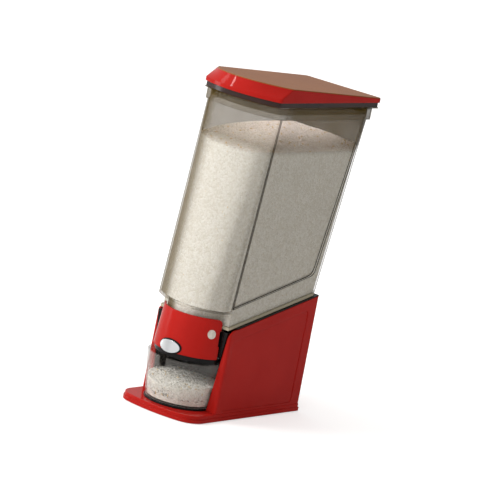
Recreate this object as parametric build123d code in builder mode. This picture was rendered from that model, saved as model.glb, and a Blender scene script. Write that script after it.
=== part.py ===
"""Rice dispenser with a measuring drawer, as separate mouldings with real joints.

Millimetres. +Z is up, the front faces -Y and +X is the right-hand side seen from the front.
The origin is the middle of the overall footprint, on the surface that the feet stand on.
"""

from build123d import *
import math
import os

os.makedirs("parts", exist_ok=True)

# ---------------------------------------------------------------- driving dimensions
overall_depth = 314.0  # front tip of the plate to the rear edge of the lid
overall_height = 490.0

# base plate
plate_width = 141.0
plate_depth = 266.0
plate_height = 10.5
plate_bow = 220.0  # radius of the bowed front
plate_corner = 30.0
plate_rear_corner = 4.0
plate_step_height = 5.0  # height of the lower of the two tiers
plate_step_inset = 1.5
plate_edge_radius = 1.2
plate_skin = 2.5
plate_rim_wall = 3.0
foot_stand_off = 1.0
foot_radius = 8.0
foot_height = 4.0
foot_side_inset = 20.5  # foot's axis from the plate's sides
foot_front_inset = 39.0  # foot's axis from the plate's front tip
foot_rear_inset = 27.0

# base shell: side walls and rear wall under the hopper
shell_ledge = 1.9  # plate showing outside the shell at the sides
shell_rear_ledge = 1.5
plate_apron = 61.5  # front tip of the plate to the front of the shell
shell_wall = 3.0
rim_over_throat = 11.5  # front of the sloping rim above the throat's lower end
shell_lean_side = 0.9
shell_lean_rear = 2.6
shell_corner_radius = 4.0
rim_slope = 12.4  # degrees, rising to the rear
shell_nose_radius = 13.0
shell_heel_radius = 3.0
mouth_low_margin = 16.8  # drawer mouth inside the shell's side at the plate
mouth_high_margin = 3.7  # and at the rim
side_recess = 0.9
side_recess_low = 3.5
side_recess_front = 11.0
side_recess_rear = 22.0
side_recess_high = 16.0
shell_boss_radius = 4.5
shell_boss_height = 20.0
shell_boss_inset = 7.0  # boss axis from the shell's outer side
boss_end_inset = 14.0  # boss axis from the shell's front and rear

# drawer bay inside the shell
bay_wall = 2.0
bay_depth = 83.5  # from the shell's front face
bay_ceiling = 3.2

# measuring drawer and its seat
seat_side_gap = 0.6  # seat inside the drawer mouth
seat_toe = 2.0  # seat in front of the drawer's foot
seat_height = 2.5
drawer_clear = 0.3
drawer_height = 66.2
drawer_wall = 2.0
drawer_floor = 2.4
seat_margin = 0.7  # drawer's foot inside the edge of the seat
drawer_rake = 9.0  # foot behind the rim at the front
drawer_flare = 6.5  # rim outside the foot at each side
drawer_setback = 5.0  # rim behind the plate's front tip
drawer_rear_rake = 8.0  # foot in front of the rim at the rear
drawer_rear_gap = 12.0  # rim to the bay's rear wall
drawer_rear_corner = 9.0
notch_half_width = 6.0
notch_depth = 14.5
drawer_headroom = 2.3  # rim to the bay's ceiling
drawer_rice_height = 43.0  # at the walls
drawer_rice_heap = 6.0

# hopper
hopper_root = 22.3  # lower ruled outline below the front of the shell's rim
collar_overlap = 3.5  # upper ruled outline above the foot of the collar
hopper_lean_side = 2.9
hopper_side_inset = 1.6  # hopper inside the shell's side
hopper_over_cover = 2.4  # lower outline in front of the cover's top edge
hopper_mouth_setback = 0.5  # mouth behind the front of the shell
hopper_rear_inset = 15.5  # lower outline in front of the shell's rear
collar_rear_proud = 4.8
hopper_low_bow = 99.0  # radius of the bowed front
hopper_high_bow = 145.0
hopper_low_corner = 21.8
hopper_high_corner = 8.0
hopper_rear_corner = 9.0
hopper_wall = 2.5
hopper_floor = 2.5
panel_proud = 1.2
lip_front_rise = 7.8  # hopper's lip above the cover, in the middle
lip_side_rise = 13.0  # and at the sides
panel_front_rise = 5.5  # lower front corner of the side panel above the lip
panel_front_lead = 0.5  # side panel in front of the shell's face
panel_rear_margin = 8.0  # lower rear corner of the side panel
panel_rise = 42.6  # climb of the side panel's lower edge
panel_high_margin = 9.7  # rear edge of the side panel at the collar
panel_corner_radius = 10.0
nose_side_gap = 3.0  # narrower front of the hopper, inside the cover
nose_setback = 4.5  # behind the cover's top edge
nose_tail = 6.5  # nose behind the centre of its bow
nose_bow_extra = 1.5  # bow's radius beyond half the width
nose_corner_short = 1.5  # corner's radius short of half the width
groove_width = 1.5
groove_depth = 0.9
groove_high_setback = 21.0  # groove at the collar, behind the front
collar_height = 15.5
lid_gap = 0.8  # collar to the liner's flange
collar_proud = 2.5
collar_front_proud = 3.5
lid_rear_overhang = 12.0
hopper_rim_clear = 0.4
throat_wall = 2.2
throat_margin = 2.0  # throat outside the gates' windows at each side
throat_setback = 7.5  # behind the front of the shell
throat_length = 10.0
chamber_height = 27.2
throat_step = 2.8  # height of the straight throat
funnel_side_margin = 9.0  # funnel's top outside the throat at each side
funnel_front_margin = 8.5  # inside the front of the nose
funnel_rear_margin = 32.0  # in front of the hopper's rear wall
rice_clear = 0.35
rice_front_drop = 58.0  # rice below the hopper's mouth
rice_peak_drop = 26.0
rice_peak_setback = 130.0  # behind the hopper's front
rice_rear_drop = 47.0
rice_side_drop = 55.0

# lid
lid_side_overhang = 0.0
lid_front_overhang = 7.7
lid_bow = 140.0
lid_corner = 5.0
lid_rear_corner = 5.0
lid_height = 22.5
lid_lip_height = 5.5
lid_fall = 15.6  # top's fall from front to rear
lid_side_lean = 0.5
lid_front_lean = 3.2
lid_top_bow_extra = 7.0  # bow's radius beyond half the width
lid_top_corner = 8.0
lid_skin = 2.6
lid_ledge = 7.0
lid_ledge_height = 3.0
lid_panel_thickness = 1.2
lid_panel_margin = 0.4
lid_band_height = 7.3
lid_band_inset = 2.4
lid_band_width = 7.0
liner_flange = 1.4
liner_inset = 1.0
liner_depth = 10.0
liner_wall = 2.0
liner_clear = 0.6

# frame under the hopper
flange_thickness = 1.5
flange_side_inset = 1.6  # inside the shell's side
flange_width = 9.0
flange_front_setback = 15.5
flange_rear_inset = 3.5
flange_rear_width = 12.0
flange_skirt = 12.0
flange_skirt_gap = 1.6  # skirt inside the shell's wall
flange_skirt_wall = 2.0

# dispensing mechanism
cheek_wall = 3.0
cheek_rear_gap = 14.0  # in front of the bay's rear wall
cheek_foot = 9.0
cheek_foot_height = 2.5
wing_lead = 2.1  # wings in front of the shell's face
wing_thickness = 3.0
wing_rise = 4.3  # above the chute
wing_over_throat = 10.2  # wings above the throat's lower end
wing_clear = 0.6
tab_low_margin = 7.5
tab_high_margin = 3.0
chamber_side_room = 30.6  # chamber inside the shell's side
chamber_wall = 3.0
chamber_lead = 17.0  # chamber in front of the throat
chamber_trail = 8.0  # and behind it
gate_thickness = 2.0
gate_clear = 0.35
gate_side_margin = 2.2  # gate outside the chamber's inner wall
gate_lead = 12.0  # gate in front of the chamber
gate_trail = 1.5  # and behind it
gate_travel = 11.0
window_margin = 3.0  # window inside the chamber's inner wall
chute_plate = 2.2
chute_side_inset = 2.0
chute_front_setback = 3.5
chute_bow_extra = 1.0
chute_corner_short = 2.0
chute_trail = 28.0  # behind the throat
chute_skirt_wall = 2.0
chute_skirt_low = 0.8  # above the drawer's rim
spout_wall = 2.0
spout_depth = 2.8
web_thickness = 3.0
web_half_width = 22.0
web_stop_gap = 0.5
rod_radius = 3.0
rod_clear = 0.35
spring_wire_radius = 0.8
spring_radius = 5.5
spring_turns = 7
spring_rise = 13.1  # axis above the chamber's lower end
pin_radius = 3.0
pin_length = 15.0

# front cover, button and badge
cover_over_rim = 14.7  # above the front of the shell's rim
cover_gap = 0.8  # above the chute
cover_wall = 2.5
cover_side_inset = 11.6  # inside the shell's side
cover_rake = 8.0
cover_setback = 10.0  # behind the drawer's rim
cover_bow_extra = 1.0
cover_corner_short = 2.0
cover_shell_gap = 3.5  # to the shell's front face
cover_corner_radius = 6.0
cover_notch_low = 19.0  # above the cover's lower edge
cover_notch_height = 23.0
cover_notch_depth = 2.0
button_rise = 7.3  # axis above the cover's lower edge
button_half_width = 17.6
button_half_height = 8.7
button_depth = 5.0  # behind the cover's lower edge
button_proud = 2.0
button_clear = 0.35
sleeve_wall = 1.5
sleeve_proud = 0.4
sleeve_seat = 0.15  # cover's hole outside the sleeve
guide_setback = 11.5  # behind the button
guide_plate = 2.5
guide_half_width = 25.0
guide_rise = 12.7  # above the button's axis
guide_foot_width = 6.0
guide_foot_length = 8.0
badge_half_width = 6.0
badge_half_height = 6.6
badge_thickness = 0.9
badge_angle = 56.0  # degrees round from the front
badge_rise = 29.2  # above the button's axis

# screws
screw_radius = 1.5
screw_head_radius = 2.9
screw_head_height = 2.0
screw_clear = 0.25
screw_bite = 0.02

# ---------------------------------------------------------------- derived positions
plate_front_y = -overall_depth / 2
plate_rear_y = plate_front_y + plate_depth
plate_top_z = foot_stand_off + plate_height
foot_spread_x = plate_width / 2 - foot_side_inset
foot_front_y = plate_front_y + foot_front_inset
foot_rear_y = plate_rear_y - foot_rear_inset
slope = math.tan(math.radians(rim_slope))
shell_half = plate_width / 2 - shell_ledge
shell_front_y = plate_front_y + plate_apron
shell_rear_y = plate_rear_y - shell_rear_ledge
far = 2 * (overall_depth + overall_height)  # longer than the whole object, for through cuts

# drawer mouth, bay, drawer and seat
mouth_low_half = shell_half - mouth_low_margin
mouth_high_half = shell_half - mouth_high_margin
bay_front_y = shell_front_y + shell_wall
bay_rear_y = shell_front_y + bay_depth
seat_half_width = mouth_low_half - seat_side_gap
drawer_foot_half = seat_half_width - seat_margin
drawer_rim_half = drawer_foot_half + drawer_flare
drawer_rim_front_y = plate_front_y + drawer_setback
drawer_foot_front_y = drawer_rim_front_y + drawer_rake
drawer_rim_rear_y = bay_rear_y - drawer_rear_gap
drawer_foot_rear_y = drawer_rim_rear_y - drawer_rear_rake
seat_front_y = drawer_foot_front_y - seat_toe
drawer_foot_z = plate_top_z + seat_height + drawer_clear
drawer_rim_z = drawer_foot_z + drawer_height
ceiling_z = drawer_rim_z + drawer_headroom
bay_top_z = ceiling_z + bay_ceiling

# dispensing mechanism, from the drawer up to the hopper's throat
throat_front_y = shell_front_y + throat_setback
chamber_half_width = shell_half - chamber_side_room
window_half_width = chamber_half_width - window_margin
throat_half_width = window_half_width + throat_margin
gate_half_width = chamber_half_width + gate_side_margin
chamber_front_y = throat_front_y - chamber_lead
chamber_rear_y = throat_front_y + throat_length + chamber_trail
gate_front_y = chamber_front_y - gate_lead
gate_rear_y = chamber_rear_y + gate_trail
chute_top_z = bay_top_z + chute_plate
lower_gate_z = chute_top_z + gate_clear
web_low_z = lower_gate_z + gate_thickness
chamber_low_z = web_low_z + gate_clear
chamber_high_z = chamber_low_z + chamber_height
upper_gate_z = chamber_high_z + gate_clear
throat_bottom_z = upper_gate_z + gate_thickness + gate_clear
funnel_bottom_z = throat_bottom_z + throat_step
spring_z = chamber_low_z + spring_rise
cheek_inner = chamber_half_width + chamber_wall
cheek_outer = cheek_inner + cheek_wall
cheek_front_y = chamber_front_y - chamber_wall
cheek_rear_y = bay_rear_y - cheek_rear_gap
cheek_top_z = throat_bottom_z + 1.0
wing_front_y = shell_front_y - wing_lead
wing_low_z = chute_top_z + wing_rise
wing_high_z = throat_bottom_z + wing_over_throat
tab_low_z = wing_low_z + tab_low_margin
tab_high_z = wing_high_z - tab_high_margin
rim_front_z = throat_bottom_z + rim_over_throat
shell_front_height = rim_front_z - plate_top_z

# cover, button and chute
cover_half = shell_half - cover_side_inset
cover_bow = cover_half + cover_bow_extra
cover_corner = cover_half - cover_corner_short
cover_bottom_front_y = drawer_rim_front_y + cover_setback
cover_top_front_y = cover_bottom_front_y + cover_rake
cover_rear_y = shell_front_y - cover_shell_gap
cover_bottom_z = chute_top_z + cover_gap
cover_top_z = rim_front_z + cover_over_rim
cover_notch_low_z = cover_bottom_z + cover_notch_low
cover_notch_high_z = cover_notch_low_z + cover_notch_height
button_z = cover_bottom_z + button_rise
button_rear_y = cover_bottom_front_y + button_depth
guide_front_y = button_rear_y + guide_setback
guide_top_z = button_z + guide_rise
badge_z = button_z + badge_rise
chute_half = cover_half - chute_side_inset
chute_bow = chute_half + chute_bow_extra
chute_corner = chute_half - chute_corner_short
chute_front_y = cover_bottom_front_y + chute_front_setback
chute_rear_y = throat_front_y + throat_length + chute_trail
yoke_front_y = guide_front_y + guide_plate + web_stop_gap
tie_front_y = chamber_rear_y + chamber_wall + web_stop_gap

# lid, collar and hopper
lid_rear_y = overall_depth / 2
lid_low_z = overall_height - lid_height
lid_lip_z = lid_low_z + lid_lip_height
lid_rear_top_z = overall_height - lid_fall
band_low_z = lid_low_z - lid_band_height
collar_top_z = band_low_z - liner_flange - lid_gap
collar_low_z = collar_top_z - collar_height
collar_rear_y = lid_rear_y - lid_rear_overhang
hopper_high_z = collar_low_z + collar_overlap
hopper_low_z = rim_front_z - hopper_root
hopper_high_half = shell_half - hopper_side_inset
hopper_low_half = hopper_high_half - hopper_lean_side
hopper_high_front_y = shell_front_y + hopper_mouth_setback
hopper_low_front_y = cover_top_front_y - hopper_over_cover
hopper_high_rear_y = collar_rear_y - collar_rear_proud
hopper_low_rear_y = shell_rear_y - hopper_rear_inset
collar_half = hopper_high_half + collar_proud
collar_front_y = hopper_high_front_y - collar_front_proud
lid_half = collar_half + lid_side_overhang
lid_front_y = collar_front_y - lid_front_overhang
lid_top_half = lid_half - lid_side_lean
lid_top_front_y = lid_front_y + lid_front_lean
lid_top_bow = lid_top_half + lid_top_bow_extra
lip_front_z = cover_top_z + lip_front_rise
lip_side_z = cover_top_z + lip_side_rise
panel_front_z = lip_side_z + panel_front_rise
panel_front_y = shell_front_y - panel_front_lead
panel_low_y = hopper_low_rear_y - panel_rear_margin
panel_low_z = panel_front_z + panel_rise
panel_high_y = hopper_high_rear_y - panel_high_margin
groove_high_y = hopper_high_front_y + groove_high_setback
nose_half = cover_half - cover_wall - nose_side_gap
nose_front_y = cover_top_front_y + nose_setback
nose_bow = nose_half + nose_bow_extra
nose_rear_y = nose_front_y + nose_bow + nose_tail
nose_corner = nose_half - nose_corner_short
funnel_top_half = throat_half_width + funnel_side_margin
funnel_front_y = nose_front_y + funnel_front_margin
funnel_rear_y = hopper_low_rear_y - funnel_rear_margin
rice_front_z = hopper_high_z - rice_front_drop
rice_peak_z = hopper_high_z - rice_peak_drop
rice_rear_z = hopper_high_z - rice_rear_drop
rice_side_z = hopper_high_z - rice_side_drop

# frame under the hopper
flange_half = shell_half - flange_side_inset
flange_inner_half = flange_half - flange_width
flange_front_y = shell_front_y + flange_front_setback
flange_rear_y = shell_rear_y - flange_rear_inset
flange_rear_inner_y = flange_rear_y - flange_rear_width
flange_skirt_outer = shell_half - shell_wall - flange_skirt_gap
hopper_seat_lift = hopper_rim_clear + flange_thickness  # hopper floor above the shell's rim
floor_lift = hopper_seat_lift + hopper_floor


# ---------------------------------------------------------------- shared shapes
def rim_z(y):
    """Height of the shell's sloping rim at y."""
    return rim_front_z + (y - shell_front_y) * slope


shell_high_z = rim_z(shell_rear_y) + 13.0  # above every part of the sloping rim


def mouth_half(z):
    """Half width of the drawer mouth at height z."""
    share = (z - plate_top_z) / shell_front_height
    return mouth_low_half + (mouth_high_half - mouth_low_half) * share


def bowed_outline(half, front, rear, bow, corner, rear_corner):
    """Face with a bowed front, rounded front corners, straight sides and a flat rear."""
    centre_y = front + bow
    corner_x = half - corner
    corner_y = centre_y - math.sqrt((bow - corner) ** 2 - corner_x**2)
    turn = math.asin(corner_x / (bow - corner))
    middle_turn = (turn + math.pi / 2) / 2
    join = (bow * math.sin(turn), centre_y - bow * math.cos(turn))
    corner_middle = (
        corner_x + corner * math.sin(middle_turn),
        corner_y - corner * math.cos(middle_turn),
    )
    inset = rear_corner * (1 - math.sqrt(0.5))
    side_end = rear - rear_corner
    with BuildLine() as outline:
        ThreePointArc((-join[0], join[1]), (0, front), join)
        ThreePointArc(join, corner_middle, (half, corner_y))
        Line((half, corner_y), (half, side_end))
        ThreePointArc((half, side_end), (half - inset, rear - inset), (half - rear_corner, rear))
        Line((half - rear_corner, rear), (-half + rear_corner, rear))
        ThreePointArc(
            (-half + rear_corner, rear), (-half + inset, rear - inset), (-half, side_end)
        )
        Line((-half, side_end), (-half, corner_y))
        ThreePointArc(
            (-half, corner_y), (-corner_middle[0], corner_middle[1]), (-join[0], join[1])
        )
    make_face(outline.edges())


def ruled_between(low_z, high_z, draw):
    """Solid ruled between the outlines that draw(z) makes at two heights."""
    with BuildPart(mode=Mode.PRIVATE) as body:
        for z in (low_z, high_z):
            with BuildSketch(Plane.XY.offset(z)):
                draw(z)
        loft(ruled=True)
    return body.part


def side_prism(points, half=far, rounded=()):
    """Solid whose side view is the polygon of (y, z) points, with (index, radius) rounding."""
    with BuildPart(mode=Mode.PRIVATE) as body:
        with BuildSketch(Plane.YZ) as profile:
            with BuildLine():
                Polyline(*points, close=True)
            make_face()
            for index, radius in rounded:
                y, z = points[index]
                fillet(profile.vertices().sort_by_distance((y, z))[0], radius)
        extrude(amount=half, both=True)
    return body.part


def front_prism(points, front_y, rear_y):
    """Solid whose front view is the polygon of (x, z) points, from front_y back to rear_y."""
    with BuildPart(mode=Mode.PRIVATE) as body:
        with BuildSketch(Plane.XZ.offset(-rear_y)):
            with BuildLine():
                Polyline(*points, close=True)
            make_face()
        extrude(amount=rear_y - front_y)
    return body.part


def upright_box(x_range, y_range, z_range):
    """Box between two corners, given as ranges."""
    size = [high - low for low, high in (x_range, y_range, z_range)]
    middle = [(high + low) / 2 for low, high in (x_range, y_range, z_range)]
    with BuildPart(mode=Mode.PRIVATE) as body:
        with Locations(tuple(middle)):
            Box(*size)
    return body.part


def oval_prism(half_width, half_height, front_y, rear_y):
    """Oval bar round the button's axis, from front_y back to rear_y."""
    with BuildPart(mode=Mode.PRIVATE) as body:
        with BuildSketch(Plane.XZ.offset(-rear_y)):
            with Locations((0, button_z)):
                Ellipse(half_width, half_height)
        extrude(amount=rear_y - front_y)
    return body.part


def finish(builder, name):
    """Labels the piece and writes it."""
    builder.part.label = name
    export_step(builder.part, f"parts/{name}.step")


# ---------------------------------------------------------------- base plate and feet
shell_boss_x = shell_half - shell_boss_inset
shell_boss_points = [
    (side * shell_boss_x, y)
    for side in (-1, 1)
    for y in (shell_front_y + boss_end_inset, shell_rear_y - boss_end_inset)
]
foot_points = [(side * foot_spread_x, y) for side in (-1, 1) for y in (foot_front_y, foot_rear_y)]
screw_seat_z = foot_stand_off + screw_head_height + 1.0


def plate_outline(inset):
    """Plate outline, drawn in by inset."""
    bowed_outline(
        plate_width / 2 - inset,
        plate_front_y + inset,
        plate_rear_y - inset,
        plate_bow - inset,
        plate_corner - inset,
        plate_rear_corner - min(inset, plate_rear_corner - 1.0),
    )


with BuildPart() as base_plate:
    with BuildSketch(Plane.XY.offset(foot_stand_off)):
        plate_outline(0)
    extrude(amount=plate_step_height)
    with BuildSketch(Plane.XY.offset(foot_stand_off + plate_step_height)):
        plate_outline(plate_step_inset)
    extrude(amount=plate_height - plate_step_height)
    fillet(base_plate.faces().sort_by(Axis.Z)[-1].edges(), plate_edge_radius)
    with BuildSketch(Plane.XY.offset(foot_stand_off)):
        plate_outline(plate_rim_wall)
    extrude(amount=plate_height - plate_skin, mode=Mode.SUBTRACT)
    with BuildSketch(Plane.XY.offset(foot_height)):
        with Locations(*foot_points):
            Circle(foot_radius + 2.0)
    extrude(amount=plate_top_z - plate_skin / 2 - foot_height)
    with BuildSketch(Plane.XY.offset(screw_seat_z)):
        with Locations(*shell_boss_points):
            Circle(screw_head_radius + 1.6)
    extrude(amount=plate_top_z - plate_skin / 2 - screw_seat_z)
    with Locations(*[(x, y, plate_top_z) for x, y in shell_boss_points]):
        Hole(screw_radius + screw_clear)
finish(base_plate, "base_plate")

with BuildPart() as rubber_feet:
    with BuildSketch():
        with Locations(*foot_points):
            Circle(foot_radius)
    extrude(amount=foot_height)
    chamfer(rubber_feet.edges().group_by(Axis.Z)[0], 0.6)
finish(rubber_feet, "rubber_feet")


# ---------------------------------------------------------------- base shell
def shell_block(inset):
    """Outer form of the shell up to above its rim, drawn in by inset."""

    def outline(z):
        share = (z - plate_top_z) / (shell_high_z - plate_top_z)
        half = shell_half - shell_lean_side * share - inset
        front = shell_front_y + inset
        rear = shell_rear_y - shell_lean_rear * share - inset
        with Locations((0, (front + rear) / 2)):
            RectangleRounded(2 * half, rear - front, max(shell_corner_radius - inset, 1.0))

    return ruled_between(plate_top_z, shell_high_z, outline)


shell_profile = [
    (shell_front_y, plate_top_z),
    (shell_rear_y, plate_top_z),
    (shell_rear_y, rim_z(shell_rear_y)),
    (shell_front_y, rim_z(shell_front_y)),
]
recess_front_y = shell_front_y + side_recess_front
recess_rear_y = shell_rear_y - side_recess_rear
recess_profile = [
    (recess_front_y, plate_top_z + side_recess_low),
    (recess_rear_y, plate_top_z + side_recess_low),
    (recess_rear_y, rim_z(recess_rear_y) - side_recess_high),
    (recess_front_y, rim_z(recess_front_y) - side_recess_high),
]
mouth_high_z = rim_z(shell_front_y + 2 * shell_wall)

with BuildPart() as base_shell:
    add(shell_block(0))
    add(
        side_prism(shell_profile, rounded=((3, shell_nose_radius), (2, shell_heel_radius))),
        mode=Mode.INTERSECT,
    )
    add(shell_block(shell_wall), mode=Mode.SUBTRACT)
    add(
        front_prism(
            [
                (-mouth_low_half, plate_top_z),
                (mouth_low_half, plate_top_z),
                (mouth_half(mouth_high_z), mouth_high_z),
                (-mouth_half(mouth_high_z), mouth_high_z),
            ],
            shell_front_y - 1.0,
            shell_front_y + 2 * shell_wall,
        ),
        mode=Mode.SUBTRACT,
    )
    add(
        side_prism(recess_profile, rounded=((0, 6.0), (1, 6.0), (2, 6.0), (3, 6.0)))
        & (shell_block(-1.0) - shell_block(side_recess)),
        mode=Mode.SUBTRACT,
    )
    with BuildSketch(Plane.XY.offset(plate_top_z)):
        with Locations(*shell_boss_points):
            Circle(shell_boss_radius)
    extrude(amount=shell_boss_height)
    with BuildSketch(Plane.XY.offset(plate_top_z)):
        with Locations(*shell_boss_points):
            Circle(screw_radius + screw_bite)
    extrude(amount=shell_boss_height - 2.0, mode=Mode.SUBTRACT)
finish(base_shell, "base_shell")

with BuildPart() as base_screws:
    with BuildSketch(Plane.XY.offset(screw_seat_z)):
        with Locations(*shell_boss_points):
            Circle(screw_head_radius)
    extrude(amount=-screw_head_height)
    with BuildSketch(Plane.XY.offset(screw_seat_z)):
        with Locations(*shell_boss_points):
            Circle(screw_radius)
    extrude(amount=plate_top_z - screw_seat_z + shell_boss_height - 4.0)
finish(base_screws, "base_screws")

# ---------------------------------------------------------------- drawer bay and seat
mechanism_screw_points = [
    (side * (cheek_outer + cheek_foot / 2), y)
    for side in (-1, 1)
    for y in (bay_front_y + 6.0, cheek_rear_y - 6.0)
]
bay_opening_rear_y = chute_rear_y - 8.0


def bay_block(top_z, grow):
    """Bay from the plate up to top_z, its walls moved outwards by grow."""

    def outline(z):
        half = mouth_half(z) + grow
        rear = bay_rear_y + grow
        with Locations((0, (bay_front_y + rear) / 2)):
            Rectangle(2 * half, rear - bay_front_y)

    return ruled_between(plate_top_z, top_z, outline)


with BuildPart() as drawer_bay:
    add(bay_block(bay_top_z, bay_wall))
    add(bay_block(ceiling_z, 0), mode=Mode.SUBTRACT)
    add(
        upright_box(
            (-cheek_inner - 0.3, cheek_inner + 0.3),
            (bay_front_y - 1.0, bay_opening_rear_y),
            (ceiling_z - 1.0, bay_top_z + 1.0),
        ),
        mode=Mode.SUBTRACT,
    )
    with BuildSketch(Plane.XY.offset(bay_top_z)):
        with Locations(*mechanism_screw_points):
            Circle(screw_radius + screw_bite)
    extrude(amount=-bay_ceiling, mode=Mode.SUBTRACT)
finish(drawer_bay, "drawer_bay")

with BuildPart() as drawer_seat:
    with BuildSketch(Plane.XY.offset(plate_top_z)):
        bowed_outline(
            seat_half_width,
            seat_front_y,
            bay_rear_y - 2.0,
            seat_half_width + 1.5,
            seat_half_width - 1.5,
            drawer_rear_corner,
        )
    extrude(amount=seat_height)
    fillet(drawer_seat.faces().sort_by(Axis.Z)[-1].edges(), 0.7)
finish(drawer_seat, "drawer_seat")


# ---------------------------------------------------------------- measuring drawer
def drawer_outline(z, inset):
    """Drawer in plan at height z, its walls drawn in by inset."""
    share = (z - drawer_foot_z) / drawer_height
    half = drawer_foot_half + (drawer_rim_half - drawer_foot_half) * share - inset
    front = drawer_foot_front_y + (drawer_rim_front_y - drawer_foot_front_y) * share + inset
    rear = drawer_foot_rear_y + (drawer_rim_rear_y - drawer_foot_rear_y) * share - inset
    bowed_outline(half, front, rear, half + 1.5, half - 1.5, drawer_rear_corner - inset)


drawer_well_z = drawer_foot_z + drawer_floor
drawer_rice_top_z = drawer_foot_z + drawer_rice_height

with BuildPart() as drawer:
    add(ruled_between(drawer_foot_z, drawer_rim_z, lambda z: drawer_outline(z, 0)))
    add(
        ruled_between(drawer_well_z, drawer_rim_z, lambda z: drawer_outline(z, drawer_wall)),
        mode=Mode.SUBTRACT,
    )
    with BuildSketch(Plane.XZ.offset(-drawer_rim_front_y - 3 * drawer_wall)):
        with Locations((0, drawer_rim_z - notch_depth + notch_half_width)):
            Circle(notch_half_width)
            Rectangle(2 * notch_half_width, far, align=(Align.CENTER, Align.MIN))
    extrude(amount=6 * drawer_wall, mode=Mode.SUBTRACT)
finish(drawer, "drawer")

heap_front = (drawer_rim_front_y, drawer_rice_top_z)
heap_rear = (drawer_rim_rear_y, drawer_rice_top_z)
heap_peak = ((heap_front[0] + heap_rear[0]) / 2, drawer_rice_top_z + drawer_rice_heap)
with BuildPart() as drawer_rice:
    add(
        ruled_between(
            drawer_well_z + rice_clear,
            drawer_rice_top_z + drawer_rice_heap,
            lambda z: drawer_outline(z, drawer_wall + rice_clear),
        )
    )
    with BuildSketch(Plane.YZ):
        with BuildLine():
            ThreePointArc(heap_front, heap_peak, heap_rear)
            Polyline(
                heap_rear,
                (heap_rear[0], plate_top_z),
                (heap_front[0], plate_top_z),
                heap_front,
            )
        make_face()
    extrude(amount=far, both=True, mode=Mode.INTERSECT)
finish(drawer_rice, "drawer_rice")


# ---------------------------------------------------------------- hopper
def hopper_block(side_inset, front_inset, rear_inset):
    """Hopper's ruled form from below its floor to above the collar's foot."""

    def outline(z):
        share = (z - hopper_low_z) / (hopper_high_z - hopper_low_z)

        def between(low, high):
            return low + (high - low) * share

        bowed_outline(
            between(hopper_low_half, hopper_high_half) - side_inset,
            between(hopper_low_front_y, hopper_high_front_y) + front_inset,
            between(hopper_low_rear_y, hopper_high_rear_y) - rear_inset,
            between(hopper_low_bow, hopper_high_bow) - side_inset,
            between(hopper_low_corner, hopper_high_corner) - side_inset,
            hopper_rear_corner - rear_inset,
        )

    return ruled_between(hopper_low_z, hopper_high_z, outline)


def above_slope(lift):
    """Everything above a plane that lies lift above the shell's sloping rim."""
    return side_prism(
        [(-far, rim_z(-far) + lift), (far, rim_z(far) + lift), (far, 2 * far), (-far, 2 * far)]
    )


def below_slope(lift):
    """Everything below a plane that lies lift above the shell's sloping rim."""
    return side_prism(
        [(-far, -far), (far, -far), (far, rim_z(far) + lift), (-far, rim_z(-far) + lift)]
    )


def panel_region(inset):
    """Side view of the front field and the raised side panels, drawn in by inset."""
    return side_prism(
        [
            (-far / 2, lip_front_z + inset),
            (hopper_low_front_y, lip_front_z + inset),
            (panel_front_y - 1.0, lip_side_z + inset),
            (panel_front_y, panel_front_z + inset),
            (panel_low_y - inset, panel_low_z + inset),
            (panel_high_y - inset, hopper_high_z),
            (-far / 2, hopper_high_z),
        ],
        rounded=((4, panel_corner_radius),),
    )


def nose_block(inset):
    """Narrow front of the hopper inside the cover, drawn in by inset."""
    with BuildPart(mode=Mode.PRIVATE) as body:
        with BuildSketch(Plane.XY.offset(hopper_low_z)):
            bowed_outline(
                nose_half - inset,
                nose_front_y + inset,
                nose_rear_y,
                nose_bow - inset,
                nose_corner - inset,
                2.0,
            )
        extrude(amount=lip_side_z + 2 * hopper_wall - hopper_low_z)
    return body.part


def waist(inset):
    """Room in front of the shell and below the lip, where the cover sits."""
    return upright_box(
        (-far, far), (-far, panel_front_y + inset), (0, lip_side_z + hopper_wall + inset)
    )


def funnel_room(inset):
    """Room that the funnel may fill, inside the nose and behind the waist."""
    behind = upright_box((-nose_half, nose_half), (panel_front_y + inset, far), (0, far))
    return nose_block(inset) + behind


def funnel(inset, lift):
    """Funnel from the sloping floor down to the throat, its walls drawn in by inset."""
    low_half = throat_half_width + throat_wall - inset
    low_front = throat_front_y - throat_wall + inset
    low_rear = throat_front_y + throat_length + throat_wall - inset
    high_half = funnel_top_half + throat_wall - inset
    high_front = funnel_front_y - throat_wall + inset
    high_rear = funnel_rear_y + throat_wall - inset
    middle_y = (high_front + high_rear) / 2
    length = (high_rear - high_front) / math.cos(math.radians(rim_slope))
    tilted = Plane(
        origin=(0, middle_y, rim_z(middle_y) + lift),
        x_dir=(1, 0, 0),
        z_dir=(0, -math.sin(math.radians(rim_slope)), math.cos(math.radians(rim_slope))),
    )
    with BuildPart(mode=Mode.PRIVATE) as body:
        with BuildSketch(Plane.XY.offset(funnel_bottom_z)):
            with Locations((0, (low_front + low_rear) / 2)):
                Rectangle(2 * low_half, low_rear - low_front)
        with BuildSketch(tilted):
            Rectangle(2 * high_half, length)
        loft(ruled=True)
    return body.part


def throat_tube(inset, bottom_z, top_z):
    """Straight throat below the funnel, its walls drawn in by inset."""
    half = throat_half_width + throat_wall - inset
    front = throat_front_y - throat_wall + inset
    rear = throat_front_y + throat_length + throat_wall - inset
    return upright_box((-half, half), (front, rear), (bottom_z, top_z))


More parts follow.
